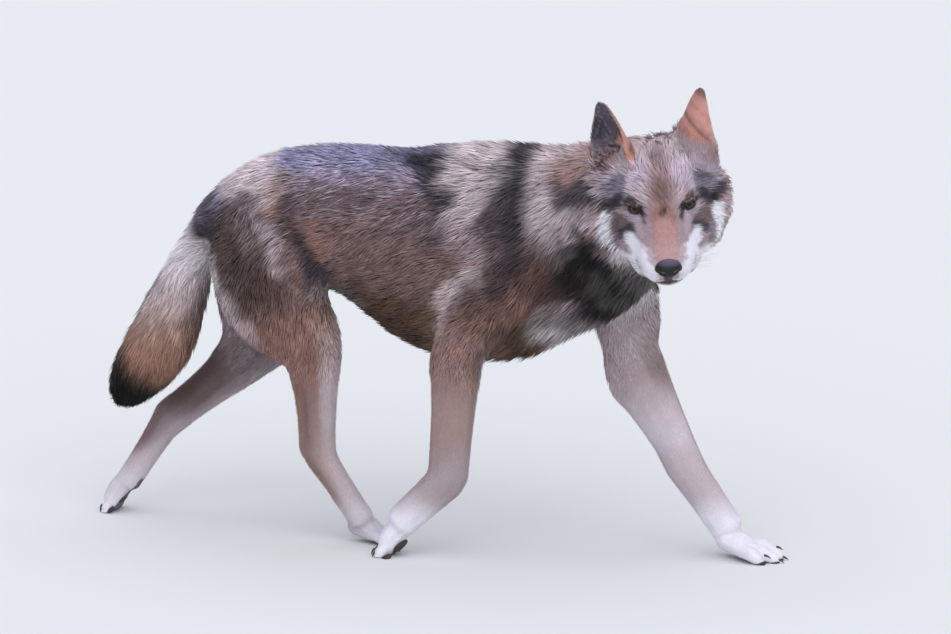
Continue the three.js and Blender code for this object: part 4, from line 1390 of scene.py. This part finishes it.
def grown(name, tree, sizes, spots, ways, sways, extents, material, slotName):
    base = bpy.data.meshes.new(name + "Points")
    base.from_pydata([tuple(spot) for spot in spots], [], [])
    for label, rows in (("way", ways), ("sway", sways), ("extent", extents)):
        rows = np.asarray(rows, np.float32)
        base.attributes.new(label, "FLOAT_VECTOR", "POINT").data.foreach_set("vector", rows.ravel())
    holder = scratch(base, name + "Points")
    growth = holder.modifiers.new("growth", "NODES")
    growth.node_group = tree
    wanted = {**sizes, "Finish": material}
    for item in tree.interface.items_tree:
        if item.in_out == "INPUT" and item.name in wanted:
            growth[item.identifier] = wanted[item.name]
    mesh = evaluated(holder)
    drop(holder)
    co, _ = meshArrays(mesh)
    co[:, 2] = np.maximum(co[:, 2], 0.0003)
    mesh.vertices.foreach_set("co", co.astype(np.float32).ravel())
    mesh.materials.clear()
    pieceFrom(name, mesh, [material])
    print(name, len(spots), "set out,", len(mesh.polygons), "faces")


def mottledMaterial(name, facts, constants):  # two colours mixed by a noise, which also roughens it
    material, net, shader = newMaterial(name, constants)
    mottle = noise(net, facts["size"], facts["detail"])
    dark, light = ((*linear(code), 1) for code in facts["colours"])
    feed(shader, Base_Color=mixColour(net, mottle, dark, light))
    feed(shader, Roughness=facts["rough"][0] + mottle * facts["rough"][1])
    return material, net, shader


def hornMaterial():
    constants = {"Roughness": 0.38, "Coat Weight": 0.2, "Coat Roughness": 0.3, "Specular IOR Level": 0.4}
    facts = {"size": 0.0022, "detail": 3, "colours": ("1b1715", "4a3f39"), "rough": (0.30, 0.25)}
    material, net, shader = mottledMaterial("clawHorn", facts, constants)
    feed(shader, Normal=bumped(net, noise(net, 0.0006, 2), 0.25, 0.0003))
    return material


def padMaterial():
    constants = {"Roughness": 0.75, "Specular IOR Level": 0.3}
    facts = {"size": 0.008, "detail": 3, "colours": ("2b2423", "544844"), "rough": (0.66, 0.2)}
    material, net, shader = mottledMaterial("padLeather", facts, constants)
    grit = net.node("ShaderNodeTexVoronoi", {}, {"Vector": objectPlace(net), "Scale": 900.0})
    feed(shader, Normal=bumped(net, grit, 0.6, 0.0006))
    return material


def whiskerMaterial():
    constants = {"Roughness": 0.4, "Specular IOR Level": 0.4}
    facts = {"size": 0.03, "detail": 1, "colours": ("4a4548", "a9a2a8"), "rough": (0.36, 0.1)}
    return mottledMaterial("whiskerHair", facts, constants)[0]


clawShape = {"length": 0.0120, "lift": 0.0040, "Root Radius": 0.17, "Tip Radius": 0.03, "Arch": 0.22}
padShape = {"toe": (0.0105, 0.0080, 0.0050), "heel": (0.0150, 0.0200, 0.0060), "back": 0.019}
whiskerShape = {
    "rows": [(-54, 2), (-60, 4), (-66, 4), (-72, 3)], "front": 96, "gap": 7.5, "length": (0.036, 0.062),
    "Root Radius": 0.0030, "Tip Radius": 0.0009, "Arch": 0.10,
}


def makeClawsAndPads():
    claws, pads = [], []
    for paw in pawShapes.values():
        ahead, _, up = paw["axes"]
        size = paw["toe"]
        for tip in paw["tips"]:
            root = tip + np.array([-clawShape["length"] * size, 0, clawShape["lift"] * size])
            start, end = fromPaw(root, paw), fromPaw(tip, paw)
            length = np.linalg.norm(end - start)
            claws.append((start, unit(end - start), up, (length,) * 3))
            pad = tip + np.array([-padShape["back"] * size, 0, 0])
            pad[2] = paw["sole"] + 0.0035
            pads.append((fromPaw(pad, paw), up, ahead, np.array(padShape["toe"]) * size))
        reach = max(tip[0] for tip in paw["tips"])
        heel = fromPaw((reach - 0.048 * size, paw["lane"], paw["sole"] + 0.005), paw)
        pads.append((heel, up, ahead, np.array(padShape["heel"]) * size))
    sizes = {key: clawShape[key] for key in ("Root Radius", "Tip Radius", "Arch")}
    grown("claws", thornTree(), sizes, *zip(*claws), hornMaterial(), "paw")
    grown("pads", padTree(), {}, *zip(*pads), padMaterial(), "paw")


def makeWhiskers():
    rng = np.random.default_rng(4)
    hairs = []
    for side in (-1, 1):
        for up, count in whiskerShape["rows"]:
            for k in range(count):
                ahead = whiskerShape["front"] - whiskerShape["gap"] * (k + 0.5 * rng.random()) - 4
                spot = fromHead((ahead, side * 50, up + rng.normal(0, 0.8)))
                spot = np.array(skinTree.find_nearest(spot)[0])
                way = np.array([-0.45 - 0.12 * k, side, -0.22 + 0.012 * (up + 60)])
                way = unit(way + rng.normal(0, 0.06, 3))
                length = rng.uniform(*whiskerShape["length"]) * (0.7 + 0.1 * k)
                hairs.append((spot, fromHeadWay(way), fromHeadWay((0.6, 0, 0.8)), (length,) * 3))
    sizes = {key: whiskerShape[key] for key in ("Root Radius", "Tip Radius", "Arch")}
    sizes.update({"Steps": 7, "Sides": 4, "Unevenness": 0.12})
    grown("whiskers", thornTree(), sizes, *zip(*hairs), whiskerMaterial(), "face")


makeClawsAndPads()
makeWhiskers()

# the coat: closed flattened spikes that lie along the body in clumps, coloured at root, middle and tip
coatShape = {
    "clump": 0.42, "sink": 1.6, "flat": 0.42, "softness": 0.62,
    "patch": 0.0015, "short": 13.5, "most": 198000, "seed": 11,
}
coatPieces = {
    "coatFace": {"kinds": ["head"], "slot": "face", "only": "short"},
    "coatHead": {"kinds": ["head"], "slot": "face", "only": "long"},
    "coatNeck": {"kinds": ["neck"], "slot": "ruff", "sides": True},
    "coatTrunk": {"kinds": ["trunk"], "slot": "saddle", "sides": True},
    "coatFore": {"kinds": ["upperArm", "forearm", "forePaw"], "slot": "thigh", "sides": True},
    "coatHind": {"kinds": ["thigh", "shank", "hock", "hindPaw"], "slot": "thigh", "sides": True},
    "coatTail": {"kinds": ["tail"], "slot": "tail"},
}


def headLengths(spots):
    side = np.abs(spots[:, 1])
    length = 6.5 + 24 * ramp(side, 80, 112) * (1 - ramp(spots[:, 2], 0, 34))
    length += 20 * ramp(-spots[:, 0], 84, 125)
    length += 10 * ramp(-spots[:, 2], 85, 110) * ramp(40 - spots[:, 0], 0, 40)
    length = lerp(length, 5.5, ramp(spots[:, 0], 4, 50))
    nearEye = normOf(mirrored(spots) - (4, 47, 0))
    return lerp(3.2, length, ramp(nearEye, 15, 46))


skinNet = neighbours(len(skinCo), skinTris)
skinEdge = skinEar * ramp(1 - normOf(soften(skinNet, skinNormals, 3)), 0.04, 0.25)


def vertexCoat():  # step, length, width, fluff and bareness at every vertex of the skin, in millimetres
    share, _ = boneWeights(skinCo)
    sizes = [[coats[bone["kind"]][key] for bone in bones] for key in ("step", "length", "width")]
    step, length, width = (share @ np.array(values, float) for values in sizes)
    spots = inHead(skinCo)
    head = kindShare(share, "head")
    length = lerp(length, headLengths(spots), head)
    high = skinCo[:, 2] / withers
    along = alongTrunk(skinCo)
    trunk = kindShare(share, "trunk")
    length += trunk * (14 * ramp(along, 0.62, 0.8) * ramp(high, 0.85, 0.97) - 10 * hump(high, 0.72, 0.14))
    facing = np.sign(skinCo[:, 1] - midY) * skinNormals[:, 1]
    length = lerp(length, 13, kindShare(share, "upperArm") * (1 - ramp(facing, -0.6, -0.1)))
    breech = kindShare(share, "thigh") * ramp(-skinNormals[:, 0], 0.4, 0.85)
    length += 20 * breech
    length = lerp(length, 44, kindShare(share, "tail") * (1 - ramp(high, 0.36, 0.44)))
    length += 14 * kindShare(share, "upperArm") * ramp(-skinNormals[:, 0], 0.4, 0.9)
    fluff = 0.45 * breech
    for side, (leaf, up, _) in earFacts(skinCo, skinEar).items():
        fur = earFur[side]
        low = 1 - ramp(up, fur["low"] + 0.004, fur["high"] + 0.006)
        own = lerp(lerp(7, 10, skinEdge), fur["skirt"], low)
        cup = earInside(skinCo, skinNormals) if side == "right" else 0
        own = lerp(own, 16, cup * 0.8 * (1 - ramp(up, 0.05, 0.08)))
        length = lerp(length, own, leaf)
        fluff = np.maximum(fluff, leaf * np.maximum(0.5 * low, 0.6 * skinEdge))
        away = earPlace(skinCo, earShapes[side])[1]
        skirt = (1 - leaf) * hump(up, 0.0, 0.020) * (1 - ramp(away, 0.050, 0.066))
        length = np.maximum(length, 17 * skirt)
        fluff = np.maximum(fluff, skirt)
    short = ramp(22 - length, 0, 12) * np.maximum(head, skinEar)
    step = lerp(step, 1.25, short)
    width = lerp(width, 0.75, short)
    bare = np.maximum(skinRim, skinInner)
    bare = np.maximum(bare, 1 - ramp(skinLips, 2.2, 3.2))
    leather = normOf((spots - noseShape["at"]) / noseShape["size"])
    bare = np.maximum(bare, 1 - ramp(leather, 1.04, 1.12))
    bare = np.maximum(bare, soleShare(skinCo, skinNormals))
    return step, length, width, fluff, bare


def plantRoots():
    rng = np.random.default_rng(coatShape["seed"])
    step, length, width, fluff, bare = vertexCoat()
    area = normOf(faceCross(skinCo, skinTris)) / 2
    triStep = step[skinTris].mean(1) / 1000
    count = rng.poisson(area / triStep ** 2 * 1.7)
    which = np.repeat(np.arange(len(skinTris)), count)
    mix = rng.random((len(which), 2))
    fold = mix.sum(1) > 1
    mix[fold] = 1 - mix[fold]
    mix = np.column_stack([1 - mix.sum(1), mix])

    def at(values):
        return (values[skinTris[which]] * mix.reshape(mix.shape + (1,) * (values.ndim - 1))).sum(1)

    roots = at(skinCo)
    level = np.round(np.log2(triStep[which] / 0.002) * 3)
    cell = np.floor(roots / (0.002 * 2 ** (level / 3))[:, None])
    _, first = np.unique(np.column_stack([level, cell]), axis=0, return_index=True)
    first = first[at(bare)[first] < 0.5]
    first.sort()
    which, mix = which[first], mix[first]
    values = {"root": at(skinCo), "normal": unit(at(skinNormals)), "length": at(length) / 1000,
              "width": at(width) / 1000, "depth": at(skinDepth), "ear": at(skinEar), "fluff": at(fluff)}
    print("roots planted:", len(first))
    return values, rng


def coatFlow(points, normals, ear, share):
    ways = unit(boneWay)[None] * np.ones((len(points), 1, 1))
    side = np.clip((points[:, 1] - midY) / halfBreadth, -1, 1)
    trunk = np.stack([np.full(len(points), -1.0), 0.15 * side, -0.16 - 0.30 * np.abs(side)], 1)
    spots = inHead(points)
    fromNose = unit(spots - (118, 0, -30)) + np.array((-0.25, 0, -0.05))
    fromNose[:, 2] -= 0.35 * ramp(np.abs(spots[:, 1]), 50, 90)
    given = {"trunk": trunk, "head": fromHeadWay(fromNose)}
    leaning = {"neck": (0, 0, -0.35), "thigh": (-0.35, 0, -0.1)}
    for index, bone in enumerate(bones):
        kind = bone["kind"]
        if kind in given:
            ways[:, index] = unit(given[kind])
        elif kind in leaning:
            ways[:, index] = unit(ways[:, index] + leaning[kind])
    flow = (ways * share[..., None]).sum(1)
    for leaf in earShapes.values():
        up, away = earPlace(points, leaf)
        own = np.maximum(ear, 0.7 * hump(up, 0.004, 0.016)) * (away < 0.07)
        flow = lerp(flow, leaf["axis"] + 0 * flow, own[:, None])
    flow = flow - normals * dot(flow, normals)[:, None]
    return unit(flow)


def tuftShapes():
    values, rng = plantRoots()
    root, normal, length = values["root"], values["normal"], values["length"]
    share, _ = boneWeights(root)
    flow = coatFlow(root, normal, values["ear"], share)
    across = np.cross(flow, normal)
    turn = 0.22 * ripple(root, 0.10, 21) + 0.16 * ripple(root, 0.035, 22) + rng.normal(0, 0.13, len(root))
    flow = flow * np.cos(turn)[:, None] + across * np.sin(turn)[:, None]
    across = np.cross(flow, normal)
    length = length * rng.uniform(0.72, 1.2, len(root))
    middle = root + flow * (length * 0.5)[:, None]
    tip = root + flow * (length * 0.96)[:, None]

    # hairs gather in locks, smaller where the coat is short
    level = np.round(np.log2(np.maximum(length * 0.34, 0.002) / 0.002) * 2)
    size = 0.002 * 2 ** (level / 2)
    spot = root + 0.004 * np.stack([ripple(root, 0.02, seed) for seed in (31, 32, 33)], 1)
    cell = np.column_stack([level, np.floor(spot / size[:, None])])
    _, lock = np.unique(cell, axis=0, return_inverse=True)
    lock = lock.ravel()
    members = np.bincount(lock)

    def lockMean(points):
        total = np.stack([np.bincount(lock, points[:, k]) for k in range(3)], 1)
        return (total / members[:, None])[lock]

    pull = coatShape["clump"] * (rng.uniform(0.5, 1.1, len(root)) * ramp(length, 0.007, 0.022))[:, None]
    tip = lerp(tip, lockMean(tip), pull)
    middle = lerp(middle, lockMean(middle), pull * 0.35)

    # heights above the skin, so that the coat keeps to its depth round every form
    lockRise = rng.uniform(0.72, 1.0, len(members))[lock]
    rise = values["depth"] * lockRise * rng.uniform(0.55, 1.06, len(root))
    rise = np.maximum(rise, length * (0.10 + 0.26 * values["fluff"]))
    for points, part in ((middle, 0.62), (tip, 1.0)):
        for index in range(len(points)):
            near, way, _, _ = skinTree.find_nearest(points[index])
            points[index] = near + way * float(rise[index] * part)
    values.update(across=across, length=length, middle=middle, tip=tip)
    values["lockTone"] = rng.normal(0, 0.085, len(members))[lock]
    return values, share, rng


# banded hairs over the back and neck: by luck, some tips dark and some pale
guardHairs = {"tones": ("saddle", "back", "flank", "ruff"), "darkUnder": 0.22, "paleOver": 0.87}


def tuftColours(values, rng):
    # the tip is what shows, so each part of a tuft takes the tone of the place where it lies
    count = len(values["root"])
    colours = np.empty((count, 3, 3))
    for part, place in enumerate(("root", "middle", "tip")):
        spots = values[place] + (values["normal"] * values["depth"][:, None] if part == 0 else 0)
        weights = allMarkings(spots, values["normal"], values["ear"])
        colours[:, part] = weights @ toneTable[:, part]
    short = ramp(0.024 - values["length"], 0, 0.012)
    blotch = 0.10 * ripple(values["root"], 0.06, 41) + 0.08 * ripple(values["root"], 0.025, 42)
    shade = np.exp((rng.normal(0, 0.12, count) + 1.5 * values["lockTone"] + blotch) * (1 - 0.7 * short))
    colours *= shade[:, None, None]
    for part in (0, 2):  # short coats show less of root and tip
        colours[:, part] = lerp(colours[:, part], colours[:, 1], 0.75 * short[:, None])
    colours = lerp(colours, colours.mean(1, keepdims=True), 0.25)
    guard = weights[:, [toneNames.index(name) for name in guardHairs["tones"]]].sum(1)
    luck = rng.random(count)
    guard = guard * (1 - short)
    dark = ((luck < guardHairs["darkUnder"]) * guard)[:, None]
    pale = ((luck > guardHairs["paleOver"]) * guard)[:, None]
    colours[:, 2] = lerp(colours[:, 2], linear("2a262a"), 0.75 * dark)
    colours[:, 1] = lerp(colours[:, 1], linear("c4bcc2"), 0.45 * pale)
    colours[:, 2] = lerp(colours[:, 2], linear("d6cfd4"), 0.60 * pale)
    return np.clip(colours, 0.002, 0.98)


def unwrapped(points):  # place along and round the piece, evened out over the square
    off = points - points.mean(0)
    _, axes = np.linalg.eigh(off.T @ off)
    along = off @ axes[:, 2]
    around = np.arctan2(off @ axes[:, 1], off @ axes[:, 0])
    count = len(points)
    rows = max(int(round(math.sqrt(count))), 1)
    rank = np.empty(count, int)
    rank[np.argsort(along, kind="stable")] = np.arange(count)
    row = rank * rows // count
    order = np.lexsort((around, row))
    start = np.searchsorted(row[order], np.arange(rows + 1))
    place = np.empty(count)
    place[order] = (np.arange(count) - start[row[order]] + 0.5) / np.diff(start)[row[order]]
    return np.column_stack([0.01 + 0.98 * place, 0.01 + 0.98 * (row + 0.5) / rows])


tuftSection = np.array([(-1, -0.25), (1, -0.25), (0, 1)], float)
tuftKinds = {  # corners of a bent tuft, or of a short straight one
    "long": {
        "faces": [
            (0, 2, 1), (0, 1, 4), (0, 4, 3), (1, 2, 5), (1, 5, 4),
            (2, 0, 3), (2, 3, 5), (3, 4, 6), (4, 5, 6), (5, 3, 6),
        ],
        "patch": [(-1, -1), (1, -1), (0, -0.45), (-0.8, 0.1), (0.8, 0.1), (0, 0.45), (0, 1)],
    },
    "short": {
        "faces": [(0, 2, 1), (0, 1, 3), (1, 2, 3), (2, 0, 3)],
        "patch": [(-1, -1), (1, -1), (0, -0.3), (0, 1)],
    },
}


def tufts(kind, values, colours, place, pick):
    root, normal, across = (values[key][pick] for key in ("root", "normal", "across"))
    middle, tip = (values[key][pick] for key in ("middle", "tip"))
    width = values["width"][pick][:, None]
    count = len(root)
    lift = unit(np.cross(across, unit(tip - root)))
    lift *= np.sign(dot(lift, normal))[:, None]
    rings = 2 if kind == "long" else 1
    corners = 3 * rings + 1
    co = np.empty((count, corners, 3))
    own = np.empty((count, corners, 3))
    tone = np.ones((count, corners, 4))
    sunk = root - normal * np.minimum(coatShape["sink"] / 1000, 0.5 * width)
    for corner, (x, y) in enumerate(tuftSection):
        low = 0.36 if kind == "long" else 0.5
        co[:, corner] = sunk + across * width * low * x + lift * width * coatShape["flat"] * 0.6 * y
        own[:, corner] = across * x + lift * y
        tone[:, corner, :3] = colours[pick][:, 0 if kind == "long" else 1]
        if kind == "long":
            co[:, corner + 3] = middle + across * width * 0.5 * x + lift * width * coatShape["flat"] * y
            own[:, corner + 3] = across * x + lift * y
            tone[:, corner + 3, :3] = colours[pick][:, 1]
    co[:, -1] = tip
    co[..., 2] = np.maximum(co[..., 2], floorGap)
    own[:, -1] = lift
    tone[:, -1, :3] = colours[pick][:, 2]
    softness = coatShape["softness"] if kind == "long" else 0.8
    own = unit(lerp(unit(own), normal[:, None] + 0 * own, softness))
    starts = corners * np.arange(count)[:, None, None]
    faces = (np.array(tuftKinds[kind]["faces"]) + starts).reshape(-1, 3)
    co = co.reshape(-1, 3)
    if count:
        outward = co[faces[:, 0]] - np.repeat((root + tip) / 2, len(faces) // count, 0)
        if dot(faceCross(co, faces), outward).sum() < 0:
            faces = faces[:, ::-1]
    patch = place[pick][:, None] + np.array(tuftKinds[kind]["patch"])[None] * coatShape["patch"]
    return co, faces, tone.reshape(-1, 4), own.reshape(-1, 3), patch.reshape(-1, 2)


def tuftMesh(name, values, colours, pick):
    place = np.zeros((len(values["root"]), 2))
    place[pick] = unwrapped(values["root"][pick])
    isShort = values["length"][pick] < coatShape["short"] / 1000
    parts = [tufts("long", values, colours, place, pick[~isShort])]
    parts.append(tufts("short", values, colours, place, pick[isShort]))
    faces = np.concatenate([parts[0][1], parts[1][1] + len(parts[0][0])])
    co, tone, own, patch = (np.concatenate([part[k] for part in parts]) for k in (0, 2, 3, 4))
    mesh = meshFrom(name, co, faces)
    layPoints(mesh, "coatTone", tone)
    uv = mesh.uv_layers.new(name="OFBake")
    uv.uv.foreach_set("vector", patch[faces.ravel()].astype(np.float32).ravel())
    # the undersides keep their own normals, since the skin's would point through them
    flat = unit(faceCross(co, faces))
    corners = own[faces]
    under = dot(flat, corners.sum(1)) < 0.45
    corners[under] = unit(0.25 * corners[under] + flat[under][:, None])
    mesh.normals_split_custom_set(corners.reshape(-1, 3).tolist())
    return mesh


def coatMaterial():
    constants = {"Roughness": 0.62, "Sheen Weight": 0.06, "Sheen Roughness": 0.45, "Specular IOR Level": 0.22}
    material, net, shader = newMaterial("coatHair", constants)
    strands = noise(net, 0.0011, 2)
    feed(shader, Base_Color=shaded(net, attribute(net, "coatTone", 0), 0.80 + strands * 0.40))
    feed(shader, Roughness=0.52 + strands * 0.2)
    return material


def makeCoat():
    values, share, rng = tuftShapes()
    colours = tuftColours(values, rng)
    material = coatMaterial()
    isLeft = values["root"][:, 1] > midY
    isShort = values["length"] < coatShape["short"] / 1000
    sums = np.stack([kindShare(share, kind) for kind in coatNames], 1)
    sums[:, coatNames.index("head")] += 5 * values["ear"]
    owner = sums.argmax(1)
    total = 0
    for name, facts in coatPieces.items():
        mine = np.isin(owner, [coatNames.index(kind) for kind in facts["kinds"]])
        if "only" in facts:
            mine &= isShort == (facts["only"] == "short")
        for label, half in (("Left", isLeft), ("Right", ~isLeft)) if facts.get("sides") else (("", mine),):
            pick = np.flatnonzero(mine & half)
            cost = np.where(isShort[pick], 4, 10).sum()
            if cost > coatShape["most"]:
                pick = np.sort(rng.permutation(pick)[:int(len(pick) * coatShape["most"] / cost * 0.995)])
            mesh = tuftMesh(name + label, values, colours, pick)
            pieceFrom(name + label, mesh, [material])
            total += len(mesh.polygons)
            print(name + label, len(pick), "tufts,", len(mesh.polygons), "triangles, wanted", cost)
    print("coat made:", total, "triangles")


makeCoat()
